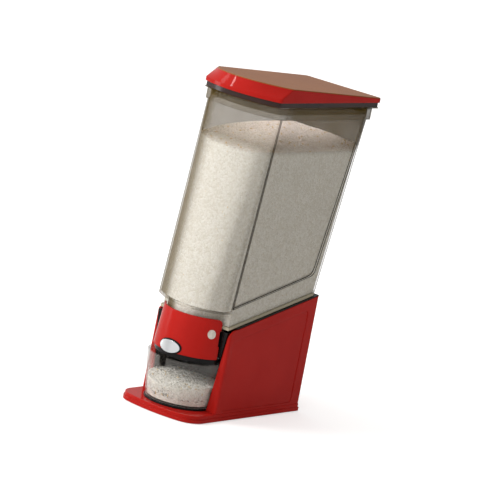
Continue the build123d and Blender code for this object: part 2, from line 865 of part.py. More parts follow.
def collar_outline(inset):
    """Hopper's mouth in plan, at its inner wall drawn in by inset."""
    wall_corner = hopper_high_corner - hopper_wall
    rear_wall_corner = hopper_rear_corner - hopper_wall
    bowed_outline(
        hopper_high_half - hopper_wall - inset,
        hopper_high_front_y + hopper_wall + inset,
        hopper_high_rear_y - hopper_wall - inset,
        hopper_high_bow - hopper_wall - inset,
        wall_corner - min(inset, wall_corner - 1.0),
        rear_wall_corner - min(inset, rear_wall_corner - 1.0),
    )


groove_profile = [
    (panel_front_y - groove_width / 2, panel_front_z - 4.0),
    (panel_front_y + groove_width / 2, panel_front_z - 4.0),
    (groove_high_y + groove_width / 2, collar_low_z),
    (groove_high_y - groove_width / 2, collar_low_z),
]
collar_grow = collar_half - hopper_high_half
neck_wall = panel_proud + hopper_wall

with BuildPart() as hopper:
    # body behind the waist, nose inside the cover, raised front and side panels, collar
    add(hopper_block(panel_proud, panel_proud, 0) - waist(0))
    add(nose_block(0))
    add(hopper_block(0, 0, 0) & panel_region(0))
    with BuildSketch(Plane.XY.offset(collar_low_z)):
        bowed_outline(
            collar_half,
            collar_front_y,
            collar_rear_y,
            hopper_high_bow + collar_grow,
            hopper_high_corner + collar_grow,
            hopper_rear_corner + collar_grow,
        )
    extrude(amount=collar_top_z - collar_low_z)
    add(below_slope(hopper_seat_lift), mode=Mode.SUBTRACT)
    # one hollow through all of them, above a sloping floor
    add(
        (hopper_block(neck_wall, neck_wall, hopper_wall) - waist(hopper_wall))
        & above_slope(floor_lift),
        mode=Mode.SUBTRACT,
    )
    add(nose_block(hopper_wall) & above_slope(floor_lift), mode=Mode.SUBTRACT)
    add(
        hopper_block(hopper_wall, hopper_wall, hopper_wall) & panel_region(hopper_wall),
        mode=Mode.SUBTRACT,
    )
    with BuildSketch(Plane.XY.offset(hopper_high_z - 1.0)):
        collar_outline(0)
    extrude(amount=collar_top_z - hopper_high_z + 1.0, mode=Mode.SUBTRACT)
    # funnel and throat
    add(funnel(0, hopper_seat_lift + hopper_floor / 2) & funnel_room(0))
    add(throat_tube(0, throat_bottom_z, funnel_bottom_z))
    add(funnel(throat_wall, floor_lift + 0.01) & funnel_room(hopper_wall), mode=Mode.SUBTRACT)
    add(throat_tube(throat_wall, throat_bottom_z, funnel_bottom_z), mode=Mode.SUBTRACT)
    # grooves between the front field and the side panels
    add(
        side_prism(groove_profile)
        & (hopper_block(-1.0, -1.0, 0) - hopper_block(groove_depth, groove_depth, 0)),
        mode=Mode.SUBTRACT,
    )
finish(hopper, "hopper")

rice_inset = hopper_wall + rice_clear
rice_lift = floor_lift + rice_clear
rice_neck = panel_proud + rice_inset
with BuildPart() as rice_fill:
    add(
        (hopper_block(rice_neck, rice_neck, rice_inset) - waist(rice_inset))
        & above_slope(rice_lift)
    )
    add(nose_block(rice_inset) & above_slope(rice_lift))
    add(hopper_block(rice_inset, rice_inset, rice_inset) & panel_region(rice_inset))
    add(funnel(throat_wall + rice_clear, rice_lift + 0.01) & funnel_room(rice_inset))
    with BuildSketch(Plane.YZ):
        with BuildLine():
            heap = ThreePointArc(
                (hopper_high_front_y, rice_front_z),
                (hopper_high_front_y + rice_peak_setback, rice_peak_z),
                (hopper_high_rear_y, rice_rear_z),
            )
            Polyline(
                heap @ 1,
                (far, rice_rear_z),
                (far, -far),
                (-far, -far),
                (-far, rice_front_z),
                heap @ 0,
            )
        make_face()
    extrude(amount=far, both=True, mode=Mode.INTERSECT)
    with BuildSketch(Plane.XZ):
        with BuildLine():
            across = ThreePointArc(
                (-hopper_high_half, rice_side_z), (0, rice_peak_z), (hopper_high_half, rice_side_z)
            )
            Polyline(
                across @ 1,
                (hopper_high_half, -far),
                (-hopper_high_half, -far),
                across @ 0,
            )
        make_face()
    extrude(amount=far, both=True, mode=Mode.INTERSECT)
finish(rice_fill, "rice_fill")

# ---------------------------------------------------------------- lid
lid_slope = (overall_height - lid_rear_top_z) / (lid_rear_y - lid_top_front_y)


def lid_outline(inset):
    """Lid's lower edge in plan, drawn in by inset."""
    bowed_outline(
        lid_half - inset,
        lid_front_y + inset,
        lid_rear_y - inset,
        lid_bow - inset,
        lid_corner - min(inset, lid_corner - 1.0),
        lid_rear_corner - min(inset, lid_rear_corner - 1.0),
    )


def lid_crown(inset):
    """Upper part of the lid before its sloping top is cut, drawn in by inset."""
    with BuildPart(mode=Mode.PRIVATE) as body:
        with BuildSketch(Plane.XY.offset(lid_lip_z)):
            lid_outline(inset)
        with BuildSketch(Plane.XY.offset(overall_height)):
            bowed_outline(
                lid_top_half - inset,
                lid_top_front_y + inset,
                lid_rear_y - inset,
                lid_top_bow - inset,
                lid_top_corner - inset,
                lid_rear_corner - min(inset, lid_rear_corner - 1.0),
            )
        loft(ruled=True)
    return body.part


def below_lid_top(drop):
    """Everything below a plane that lies drop under the lid's sloping top."""
    high_z = overall_height - drop
    front_y = lid_top_front_y - 20.0
    rear_y = lid_rear_y + 20.0
    return side_prism(
        [
            (front_y, lid_low_z - 1.0),
            (rear_y, lid_low_z - 1.0),
            (rear_y, high_z - lid_slope * (rear_y - lid_top_front_y)),
            (front_y, high_z - lid_slope * (front_y - lid_top_front_y)),
        ]
    )


def lid_hollow():
    """Space under the lid's skin, above the ledge that the seal is bonded to."""
    ledge_top_z = lid_low_z + lid_ledge_height
    with BuildPart(mode=Mode.PRIVATE) as body:
        with BuildSketch(Plane.XY.offset(ledge_top_z)):
            lid_outline(lid_skin)
        extrude(amount=lid_lip_z - ledge_top_z)
        add(lid_crown(lid_skin))
        add(below_lid_top(lid_panel_thickness + lid_skin), mode=Mode.INTERSECT)
    return body.part


with BuildPart() as lid_shell:
    with BuildSketch(Plane.XY.offset(lid_low_z)):
        lid_outline(0)
    extrude(amount=lid_lip_z - lid_low_z)
    add(lid_crown(0))
    add(below_lid_top(lid_panel_thickness), mode=Mode.INTERSECT)
    with BuildSketch(Plane.XY.offset(lid_low_z)):
        lid_outline(lid_ledge)
    extrude(amount=lid_ledge_height, mode=Mode.SUBTRACT)
    add(lid_hollow(), mode=Mode.SUBTRACT)
finish(lid_shell, "lid_shell")

with BuildPart() as lid_top_panel:
    add(lid_crown(lid_panel_margin))
    add(below_lid_top(0), mode=Mode.INTERSECT)
    add(below_lid_top(lid_panel_thickness), mode=Mode.SUBTRACT)
finish(lid_top_panel, "lid_top_panel")

with BuildPart() as lid_seal:
    with BuildSketch(Plane.XY.offset(band_low_z)):
        lid_outline(lid_band_inset)
    extrude(amount=lid_band_height)
    with BuildSketch(Plane.XY.offset(band_low_z)):
        lid_outline(lid_band_inset + lid_band_width)
    extrude(amount=lid_band_height, mode=Mode.SUBTRACT)
finish(lid_seal, "lid_seal")

with BuildPart() as lid_liner:
    with BuildSketch(Plane.XY.offset(band_low_z - liner_flange)):
        lid_outline(liner_inset)
    extrude(amount=liner_flange)
    with BuildSketch(Plane.XY.offset(band_low_z - liner_flange)):
        collar_outline(liner_clear)
    extrude(amount=-liner_depth)
    with BuildSketch(Plane.XY.offset(band_low_z)):
        collar_outline(liner_clear + liner_wall)
    extrude(amount=-liner_flange - liner_depth, mode=Mode.SUBTRACT)
finish(lid_liner, "lid_liner")

# ---------------------------------------------------------------- frame under the hopper
skirt_inner = flange_skirt_outer - flange_skirt_wall
skirt_rear_y = shell_rear_y - shell_lean_rear - shell_wall - 1.0
with BuildPart() as hopper_frame:
    add(
        upright_box((-flange_half, flange_half), (flange_front_y, flange_rear_y), (0, far))
        & above_slope(0)
        & below_slope(flange_thickness)
    )
    add(
        upright_box(
            (-flange_skirt_outer, flange_skirt_outer),
            (flange_front_y, skirt_rear_y),
            (0, far),
        )
        & above_slope(-flange_skirt)
        & below_slope(0.5)
    )
    add(
        upright_box((-skirt_inner, skirt_inner), (-far, skirt_rear_y - flange_skirt_wall), (0, far))
        & below_slope(0),
        mode=Mode.SUBTRACT,
    )
    add(
        upright_box((-flange_inner_half, flange_inner_half), (-far, flange_rear_inner_y), (0, far)),
        mode=Mode.SUBTRACT,
    )
finish(hopper_frame, "hopper_frame")


# ---------------------------------------------------------------- front cover and badge
def cover_block(grow):
    """Cover's bowed form over its full height, moved outwards by grow."""

    def outline(z):
        share = (z - cover_bottom_z) / (cover_top_z - cover_bottom_z)
        front = cover_bottom_front_y + (cover_top_front_y - cover_bottom_front_y) * share
        bowed_outline(
            cover_half + grow,
            front - grow,
            cover_rear_y + 60.0,
            cover_bow + grow,
            cover_corner + grow,
            2.0,
        )

    return ruled_between(cover_bottom_z - 8.0, cover_top_z + 8.0, outline)


sleeve_outer_x = button_half_width + button_clear + sleeve_wall
sleeve_outer_z = button_half_height + button_clear + sleeve_wall
cover_far_y = cover_bottom_front_y - 20.0

with BuildPart() as front_cover:
    add(cover_block(0))
    add(cover_block(-cover_wall), mode=Mode.SUBTRACT)
    add(
        side_prism(
            [
                (cover_far_y, cover_bottom_z),
                (cover_rear_y, cover_bottom_z),
                (cover_rear_y, cover_top_z),
                (cover_far_y, cover_top_z),
            ],
            rounded=((2, cover_corner_radius), (1, 2.0)),
        ),
        mode=Mode.INTERSECT,
    )
    add(
        oval_prism(
            sleeve_outer_x + sleeve_seat, sleeve_outer_z + sleeve_seat, cover_far_y, guide_front_y
        ),
        mode=Mode.SUBTRACT,
    )
    add(
        upright_box(
            (-far, far),
            (cover_rear_y - cover_notch_depth, cover_rear_y + 1.0),
            (cover_notch_low_z, cover_notch_high_z),
        ),
        mode=Mode.SUBTRACT,
    )
finish(front_cover, "front_cover")

badge_turn = math.radians(badge_angle)
badge_plane = Plane(
    origin=(0, cover_bottom_front_y + cover_bow + 4.0, badge_z),
    x_dir=(math.cos(badge_turn), math.sin(badge_turn), 0),
    z_dir=(math.sin(badge_turn), -math.cos(badge_turn), 0),
)
with BuildPart() as badge:
    with BuildSketch(badge_plane):
        Ellipse(badge_half_width, badge_half_height)
    extrude(amount=2 * cover_bow)
    add(cover_block(badge_thickness), mode=Mode.INTERSECT)
    add(cover_block(0), mode=Mode.SUBTRACT)
finish(badge, "badge")

# ---------------------------------------------------------------- mechanism frame
wing_rear_y = wing_front_y + wing_thickness
wing_inner = cheek_inner + 1.0
wing_step = nose_half + 1.5

with BuildPart() as mechanism_frame:
    for side in (-1, 1):
        cheek_x = sorted((side * cheek_inner, side * cheek_outer))
        foot_x = sorted((side * cheek_inner, side * (cheek_outer + cheek_foot)))
        tab_x = sorted((side * (cheek_outer + 1.0), side * cover_half))
        add(upright_box(cheek_x, (cheek_front_y, cheek_rear_y), (chute_top_z, cheek_top_z)))
        add(
            upright_box(
                foot_x, (bay_front_y, cheek_rear_y), (bay_top_z, bay_top_z + cheek_foot_height)
            )
        )
        # wing between the cheek and the edge of the mouth
        add(
            front_prism(
                [
                    (side * wing_inner, wing_low_z),
                    (side * (mouth_half(wing_low_z) - wing_clear), wing_low_z),
                    (side * (mouth_half(wing_high_z) - wing_clear), wing_high_z),
                    (side * wing_step, wing_high_z),
                    (side * wing_step, cheek_top_z),
                    (side * wing_inner, cheek_top_z),
                ],
                wing_front_y,
                wing_rear_y,
            )
        )
        # tab that the cover's rear edge is bonded to
        add(
            upright_box(tab_x, (cover_rear_y - 4.0, wing_front_y + 1.0), (tab_low_z, tab_high_z))
            & cover_block(-cover_wall)
        )
    add(
        upright_box(
            (-cheek_outer, cheek_outer),
            (cheek_rear_y - cheek_wall, cheek_rear_y),
            (bay_top_z, cheek_top_z),
        )
    )
    with BuildSketch(Plane.XZ.offset(-cheek_rear_y + cheek_wall)):
        with Locations((0, spring_z)):
            Circle(pin_radius)
    extrude(amount=pin_length)
    with BuildSketch(Plane.XY.offset(bay_top_z)):
        with Locations(*mechanism_screw_points):
            Circle(screw_radius + screw_clear)
    extrude(amount=cheek_foot_height, mode=Mode.SUBTRACT)
finish(mechanism_frame, "mechanism_frame")

with BuildPart() as mechanism_screws:
    with BuildSketch(Plane.XY.offset(bay_top_z + cheek_foot_height)):
        with Locations(*mechanism_screw_points):
            Circle(screw_head_radius)
    extrude(amount=screw_head_height)
    with BuildSketch(Plane.XY.offset(bay_top_z + cheek_foot_height)):
        with Locations(*mechanism_screw_points):
            Circle(screw_radius)
    extrude(amount=-cheek_foot_height - bay_ceiling + 0.4)
finish(mechanism_screws, "mechanism_screws")

# ---------------------------------------------------------------- chamber and chute
with BuildPart() as metering_chamber:
    add(
        upright_box(
            (-cheek_inner, cheek_inner),
            (chamber_front_y - chamber_wall, chamber_rear_y + chamber_wall),
            (chamber_low_z, chamber_high_z),
        )
    )
    add(
        upright_box(
            (-chamber_half_width, chamber_half_width),
            (chamber_front_y, chamber_rear_y),
            (chamber_low_z, chamber_high_z),
        ),
        mode=Mode.SUBTRACT,
    )
finish(metering_chamber, "metering_chamber")

throat_rear_y = throat_front_y + throat_length
guide_foot_points = [
    (side * (guide_half_width + guide_foot_width / 2), guide_front_y + guide_foot_length / 2)
    for side in (-1, 1)
]
skirt_low_z = drawer_rim_z + chute_skirt_low
skirt_end_y = bay_front_y - 0.7


def chute_skirt_outline(inset):
    """Rim under the cover, drawn in by inset, before its rear is cut off."""
    bowed_outline(
        chute_half - inset,
        chute_front_y + inset,
        chute_front_y + 2 * chute_bow,
        chute_bow - inset,
        chute_corner - inset,
        1.0,
    )


with BuildPart() as chute:
    with BuildSketch(Plane.XY.offset(skirt_low_z)):
        chute_skirt_outline(0)
    extrude(amount=chute_top_z - skirt_low_z)
    with BuildSketch(Plane.XY.offset(skirt_low_z)):
        chute_skirt_outline(chute_skirt_wall)
    extrude(amount=bay_top_z - skirt_low_z, mode=Mode.SUBTRACT)
    add(upright_box((-far, far), (skirt_end_y, far), (0, far)), mode=Mode.SUBTRACT)
    add(
        upright_box(
            (-cheek_inner + 0.3, cheek_inner - 0.3),
            (bay_front_y - 3.0, chute_rear_y),
            (bay_top_z, chute_top_z),
        )
    )
    add(
        upright_box(
            (-window_half_width - spout_wall, window_half_width + spout_wall),
            (throat_front_y - spout_wall, throat_rear_y + spout_wall),
            (bay_top_z - spout_depth, bay_top_z),
        )
    )
    add(
        upright_box(
            (-window_half_width, window_half_width),
            (throat_front_y, throat_rear_y),
            (bay_top_z - spout_depth, chute_top_z),
        ),
        mode=Mode.SUBTRACT,
    )
    add(
        oval_prism(
            sleeve_outer_x + sleeve_seat,
            sleeve_outer_z + sleeve_seat,
            cover_far_y,
            guide_front_y + 0.2,
        ),
        mode=Mode.SUBTRACT,
    )
    with BuildSketch(Plane.XY.offset(chute_top_z)):
        with Locations(*guide_foot_points):
            Circle(screw_radius + screw_bite)
    extrude(amount=-chute_plate, mode=Mode.SUBTRACT)
finish(chute, "chute")

# ---------------------------------------------------------------- button and its guide
with BuildPart() as button_guide:
    add(
        oval_prism(sleeve_outer_x, sleeve_outer_z, cover_far_y, guide_front_y)
        & cover_block(sleeve_proud)
    )
    add(
        oval_prism(
            sleeve_outer_x - sleeve_wall, sleeve_outer_z - sleeve_wall, cover_far_y, guide_front_y
        ),
        mode=Mode.SUBTRACT,
    )
    add(
        upright_box(
            (-guide_half_width, guide_half_width),
            (guide_front_y, guide_front_y + guide_plate),
            (chute_top_z, guide_top_z),
        )
    )
    for side in (-1, 1):
        guide_foot_x = sorted(
            (side * guide_half_width, side * (guide_half_width + guide_foot_width))
        )
        add(
            upright_box(
                guide_foot_x,
                (guide_front_y, guide_front_y + guide_foot_length),
                (chute_top_z, chute_top_z + guide_plate),
            )
        )
    with BuildSketch(Plane.XZ.offset(-guide_front_y - guide_plate)):
        with Locations((0, button_z)):
            Circle(rod_radius + rod_clear)
    extrude(amount=guide_plate, mode=Mode.SUBTRACT)
    with BuildSketch(Plane.XY.offset(chute_top_z)):
        with Locations(*guide_foot_points):
            Circle(screw_radius + screw_clear)
    extrude(amount=guide_plate, mode=Mode.SUBTRACT)
finish(button_guide, "button_guide")

with BuildPart() as guide_screws:
    with BuildSketch(Plane.XY.offset(chute_top_z + guide_plate)):
        with Locations(*guide_foot_points):
            Circle(screw_head_radius)
    extrude(amount=screw_head_height)
    with BuildSketch(Plane.XY.offset(chute_top_z + guide_plate)):
        with Locations(*guide_foot_points):
            Circle(screw_radius)
    extrude(amount=-guide_plate - chute_plate + 0.2)
finish(guide_screws, "guide_screws")

with BuildPart() as push_button:
    add(
        oval_prism(button_half_width, button_half_height, cover_far_y, button_rear_y)
        & cover_block(button_proud)
    )
finish(push_button, "push_button")

with BuildPart() as push_rod:
    with BuildSketch(Plane.XZ.offset(-yoke_front_y)):
        with Locations((0, button_z)):
            Circle(rod_radius)
    extrude(amount=yoke_front_y - button_rear_y)
finish(push_rod, "push_rod")

# ---------------------------------------------------------------- gates and spring
with BuildPart() as gate_yoke:
    add(
        upright_box(
            (-web_half_width, web_half_width),
            (yoke_front_y, yoke_front_y + web_thickness),
            (web_low_z, upper_gate_z),
        )
    )
finish(gate_yoke, "gate_yoke")

with BuildPart() as spring_plate:
    add(
        upright_box(
            (-web_half_width, web_half_width),
            (tie_front_y, tie_front_y + web_thickness),
            (web_low_z, upper_gate_z),
        )
    )
finish(spring_plate, "spring_plate")


def gate(low_z, window_front_y):
    """Sliding plate with tongues over the webs and a window from window_front_y back."""
    z_range = (low_z, low_z + gate_thickness)
    plate = upright_box((-gate_half_width, gate_half_width), (gate_front_y, gate_rear_y), z_range)
    tongue = upright_box(
        (-web_half_width, web_half_width), (yoke_front_y, tie_front_y + web_thickness), z_range
    )
    window = upright_box(
        (-window_half_width, window_half_width),
        (window_front_y, window_front_y + throat_length),
        z_range,
    )
    return plate + tongue - window


with BuildPart() as upper_gate:
    add(gate(upper_gate_z, throat_front_y))
finish(upper_gate, "upper_gate")

with BuildPart() as lower_gate:
    add(gate(lower_gate_z, throat_front_y - gate_travel))
finish(lower_gate, "lower_gate")

coil_front_y = tie_front_y + web_thickness + spring_wire_radius + 0.02
coil_rear_y = cheek_rear_y - cheek_wall - spring_wire_radius - 0.02
with BuildPart() as return_spring:
    with BuildLine():
        coil = Helix(
            (coil_rear_y - coil_front_y) / spring_turns,
            coil_rear_y - coil_front_y,
            spring_radius,
            center=(0, coil_front_y, spring_z),
            direction=(0, 1, 0),
        )
    with BuildSketch(Plane(origin=coil @ 0, z_dir=coil % 0)):
        Circle(spring_wire_radius)
    sweep(is_frenet=True)
finish(return_spring, "return_spring")
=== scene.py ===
import logging
import math
from dataclasses import dataclass, field
from enum import Enum

import bmesh
import bpy
from mathutils import Matrix, Vector
from mathutils.bvhtree import BVHTree


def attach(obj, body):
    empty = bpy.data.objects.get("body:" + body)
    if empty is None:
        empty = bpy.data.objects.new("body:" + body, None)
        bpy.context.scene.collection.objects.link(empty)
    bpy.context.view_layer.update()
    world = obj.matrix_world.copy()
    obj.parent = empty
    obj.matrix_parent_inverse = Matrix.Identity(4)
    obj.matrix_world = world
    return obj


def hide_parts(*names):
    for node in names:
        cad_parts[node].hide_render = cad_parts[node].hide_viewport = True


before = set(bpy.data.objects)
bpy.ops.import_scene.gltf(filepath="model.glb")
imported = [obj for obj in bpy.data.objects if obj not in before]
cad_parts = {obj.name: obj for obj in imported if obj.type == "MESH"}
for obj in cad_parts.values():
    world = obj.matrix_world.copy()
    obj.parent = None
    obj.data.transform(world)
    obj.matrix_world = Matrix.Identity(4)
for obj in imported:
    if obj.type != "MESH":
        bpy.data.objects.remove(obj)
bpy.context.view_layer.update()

MM = 0.001
log = logging.getLogger("rice_dispenser")


def linear(hex_code: str) -> tuple[float, float, float, float]:
    """Turns an sRGB hex colour to linear RGBA.

    Args:
        hex_code: Colour as "#RRGGBB".

    Returns:
        Linear red, green, blue and an alpha of 1.
    """
    parts = [int(hex_code[i : i + 2], 16) / 255 for i in (1, 3, 5)]
    turned = [c / 12.92 if c <= 0.04045 else ((c + 0.055) / 1.055) ** 2.4 for c in parts]
    return (turned[0], turned[1], turned[2], 1.0)


def add_node(
    tree: bpy.types.NodeTree, kind: str, inputs: dict | None = None, **settings: object
) -> bpy.types.Node:
    """Adds a node with its settings, values and links.

    Args:
        tree: Tree that gets the node.
        kind: Node type.
        inputs: Socket name or index to a value, or to an output socket to link from.
        settings: Properties set on the node before its inputs.

    Returns:
        The new node.
    """
    made = tree.nodes.new(kind)
    for name, value in settings.items():
        setattr(made, name, value)
    for key, value in (inputs or {}).items():
        if isinstance(value, bpy.types.NodeSocket):
            tree.links.new(value, made.inputs[key])
        else:
            made.inputs[key].default_value = value
    return made


def per_metre(size_mm: float) -> float:
    """Texture scale whose features are size_mm across."""
    return 1.0 / (size_mm * MM)


class Sheen(Enum):
    """How a moulded or drawn surface came from its tool, as a roughness."""

    POLISHED = 0.09
    GLOSS = 0.17
    SATIN = 0.34
    MATT = 0.55


class RiceSide(Enum):
    """Side of a load of rice, by the direction that it faces."""

    TOP = "top"
    FRONT = "front"
    REAR = "rear"
    RIGHT = "right"
    LEFT = "left"

    @classmethod
    def of(cls, normal: Vector) -> "RiceSide | None":
        """Side that a face with this normal belongs to, or None if it faces down."""
        if normal.z > 0.6:
            return cls.TOP
        if normal.z < -0.5:
            return None
        if abs(normal.y) > 0.62:
            return cls.FRONT if normal.y < 0 else cls.REAR
        return cls.RIGHT if normal.x > 0 else cls.LEFT


# ------------------------------------------------------------------ finishes
@dataclass(frozen=True)
class Finish:
    """One real material, made once and shared by its pieces."""

    name: str

    def start(self) -> tuple[bpy.types.Material, bpy.types.NodeTree, bpy.types.Node]:
        """Makes the empty material.

        Returns:
            The material, its node tree and its shader node.
        """
        material = bpy.data.materials.new(self.name)
        material.use_nodes = True
        tree = material.node_tree
        tree.nodes.clear()
        shader = add_node(tree, "ShaderNodeBsdfPrincipled")
        add_node(tree, "ShaderNodeOutputMaterial", {"Surface": shader.outputs[0]})
        return material, tree, shader

    def build(self) -> bpy.types.Material:
        """Makes the material."""
        raise NotImplementedError


@dataclass(frozen=True)
class Moulded(Finish):
    """Opaque moulding, rubber or metal: colour drift, surface texture and soft edges."""

    colour: str = "#808080"
    drift: str = "#707070"  # colour of the slow change over the surface
    drift_mm: float = 60.0
    sheen: Sheen = Sheen.GLOSS
    sheen_spread: float = 0.06
    texture_mm: float = 1.2
    texture_depth: float = 0.02
    edge_mm: float = 0.5
    metallic: float = 0.0
    specular: float = 0.5
    coat: float = 0.0
    coat_roughness: float = 0.04
    grain_stretch: tuple[float, float, float] = (1.0, 1.0, 1.0)

    def build(self) -> bpy.types.Material:
        """Makes the material from its colour, sheen and texture."""
        material, tree, shader = self.start()
        place = add_node(tree, "ShaderNodeTexCoord").outputs["Object"]
        slow = add_node(
            tree,
            "ShaderNodeTexNoise",
            {"Vector": place, "Scale": per_metre(self.drift_mm), "Detail": 3.0},
        )
        ramp = add_node(
            tree,
            "ShaderNodeMapRange",
            {"Value": slow.outputs[0], "From Min": 0.35, "From Max": 0.68},
        )
        colours = add_node(
            tree,
            "ShaderNodeMix",
            {0: ramp.outputs[0], 6: linear(self.colour), 7: linear(self.drift)},
            data_type="RGBA",
        )
        tree.links.new(colours.outputs[2], shader.inputs["Base Color"])
        stretched = add_node(
            tree, "ShaderNodeMapping", {"Vector": place, "Scale": self.grain_stretch}
        )
        fine = add_node(
            tree,
            "ShaderNodeTexNoise",
            {
                "Vector": stretched.outputs[0],
                "Scale": per_metre(self.texture_mm),
                "Detail": 2.0,
            },
        )
        rough = add_node(
            tree,
            "ShaderNodeMapRange",
            {
                "Value": fine.outputs[0],
                "From Min": 0.3,
                "From Max": 0.7,
                "To Min": max(self.sheen.value - self.sheen_spread, 0.03),
                "To Max": self.sheen.value + self.sheen_spread,
            },
        )
        tree.links.new(rough.outputs[0], shader.inputs["Roughness"])
        edge = add_node(tree, "ShaderNodeBevel", {"Radius": self.edge_mm * MM}, samples=4)
        bump = add_node(
            tree,
            "ShaderNodeBump",
            {
                "Strength": 1.0,
                "Distance": self.texture_depth * MM,
                "Height": fine.outputs[0],
                "Normal": edge.outputs[0],
            },
        )
        tree.links.new(bump.outputs[0], shader.inputs["Normal"])
        shader.inputs["Metallic"].default_value = self.metallic
        shader.inputs["Specular IOR Level"].default_value = self.specular
        shader.inputs["Coat Weight"].default_value = self.coat
        shader.inputs["Coat Roughness"].default_value = self.coat_roughness
        return material


@dataclass(frozen=True)
class SmokyWall(Finish):
    """Smoke-tinted clear moulding: thin olive film, denser at its rims; painted shade makes it
    denser over the rice and on the rear wall there, and draws dark lines in its grooves.
    """

    colour: str = "#5C4A1E"
    # painted shade: colour of the dark lines where the raised panels' steps would look dark
    groove_shade_colour: str = "#120C08"
    floor_colour: str = "#C9BFA6"  # over the sloping floor, where rice shows through
    backed: float = 0.045  # density of one surface with rice behind it
    open: float = 0.27  # density of one surface of the empty upper part, raised as painted shade
    rear: float = 0.62  # density of the rear wall above the rice, raised as painted shade of the hopper's inside
    rim: float = 0.42  # density of the thicker collar
    groove_shade_mm: float = 0.8  # half width of the painted shade line in the grooves
    face_falloff: float = 4.0  # how late a flat wall thickens as it turns away
    corner_falloff: float = 1.2  # the same on a rounded corner
    floor_mm: float = 6.5  # height of the floor's edge above the shell's rim
    floor_slope: float = 12.4  # degrees
    panel_top_mm: float = 442.5  # height where the grooves' dark lines end
    fill_mm: tuple[float, float] = (388.0, 404.0)  # heights where the rice's top fades out
    heap_mm: float = 401.0  # height over which the rear wall is seen empty
    collar_mm: tuple[float, float] = (441.5, 443.0)  # heights where the collar starts
    full: float = 0.92  # density of a painted shade line, or of a wall seen edge on
    sole: float = 0.8  # density over the sloping floor
    flow_mm: float = 45.0  # width of the slow unevenness in the tint
    ripple_mm: float = 25.0  # width of the surface's ripples

    def build(self) -> bpy.types.Material:
        """Makes the film, with lines of painted shade where the raised panels end."""
        material, tree, shader = self.start()
        place = add_node(tree, "ShaderNodeTexCoord").outputs["Object"]
        axes = add_node(tree, "ShaderNodeSeparateXYZ", {0: place})

        def edge(y: float, z: float, dy: float, dz: float) -> bpy.types.NodeSocket:
            """Distance inside a line of the side view, through (y, z) along (dy, dz)."""
            length = math.hypot(dy, dz)
            across = Vector((0.0, dz, -dy)) / length
            dot = add_node(
                tree,
                "ShaderNodeVectorMath",
                {0: place, 1: tuple(across)},
                operation="DOT_PRODUCT",
            )
            offset = across.y * y * MM + across.z * z * MM
            return add_node(
                tree, "ShaderNodeMath", {0: dot.outputs["Value"], 1: offset}, operation="SUBTRACT"
            ).outputs[0]

        # edges of the raised side panel, along which the painted shade lines run
        front = edge(-96.0, 161.5, 22.0, 281.0)
        low = edge(84.0, 208.1, -180.0, -42.6)
        rear = edge(130.5, 446.0, -46.5, -237.9)
        corner = add_node(
            tree, "ShaderNodeMath", {0: low, 1: rear, 2: 0.016}, operation="SMOOTH_MIN"
        )
        inside = add_node(
            tree, "ShaderNodeMath", {0: corner.outputs[0], 1: front}, operation="MINIMUM"
        )
        away = add_node(tree, "ShaderNodeMath", {0: inside.outputs[0]}, operation="ABSOLUTE")
        line = add_node(
            tree,
            "ShaderNodeMapRange",
            {
                "Value": away.outputs[0],
                "From Min": self.groove_shade_mm * MM * 0.6,
                "From Max": self.groove_shade_mm * MM * 1.3,
                "To Min": 1.0,
                "To Max": 0.0,
            },
        )
        # the painted shade lines stop under the collar
        below = add_node(
            tree,
            "ShaderNodeMath",
            {0: axes.outputs[2], 1: self.panel_top_mm * MM},
            operation="LESS_THAN",
        )
        drawn = add_node(
            tree, "ShaderNodeMath", {0: line.outputs[0], 1: below.outputs[0]}, operation="MULTIPLY"
        )
        # density of the film by height: thin over the rice, denser above it as painted shade
        upper = add_node(
            tree,
            "ShaderNodeMapRange",
            {
                "Value": axes.outputs[2],
                "From Min": self.fill_mm[0] * MM,
                "From Max": self.fill_mm[1] * MM,
                "To Min": self.backed,
                "To Max": self.open,
            },
            interpolation_type="SMOOTHSTEP",
        )
        collar = add_node(
            tree,
            "ShaderNodeMapRange",
            {
                "Value": axes.outputs[2],
                "From Min": self.collar_mm[0] * MM,
                "From Max": self.collar_mm[1] * MM,
                "To Min": 0.0,
                "To Max": self.rim - self.open,
            },
        )
        density = add_node(
            tree, "ShaderNodeMath", {0: upper.outputs[0], 1: collar.outputs[0]}, operation="ADD"
        )
        # painted shade: the rear wall is made denser above the rice's heap
        back = add_node(
            tree,
            "ShaderNodeMapRange",
            {
                "Value": edge(92.0, 110.0, -48.2, -336.0),
                "From Min": 5.0 * MM,
                "From Max": 6.0 * MM,
                "To Min": 1.0,
                "To Max": 0.0,
            },
        )
        back = add_node(
            tree,
            "ShaderNodeMapRange",
            {
                "Value": back.outputs[0],
                "To Min": density.outputs[0],
                "To Max": self.rear,
            },
        )
        over_rice = add_node(
            tree,
            "ShaderNodeMath",
            {0: axes.outputs[2], 1: self.heap_mm * MM},
            operation="GREATER_THAN",
        )
        density = add_node(
            tree,
            "ShaderNodeMapRange",
            {
                "Value": over_rice.outputs[0],
                "To Min": density.outputs[0],
                "To Max": back.outputs[0],
            },
        )
        flow = add_node(
            tree,
            "ShaderNodeTexNoise",
            {"Vector": place, "Scale": per_metre(self.flow_mm), "Detail": 2.0},
        )
        drift = add_node(
            tree,
            "ShaderNodeMapRange",
            {"Value": flow.outputs[0], "To Min": 0.8, "To Max": 1.2},
        )
        density = add_node(
            tree,
            "ShaderNodeMath",
            {0: density.outputs[0], 1: drift.outputs[0]},
            operation="MULTIPLY",
        )
        slant = add_node(tree, "ShaderNodeLayerWeight", {"Blend": 0.5}).outputs["Facing"]
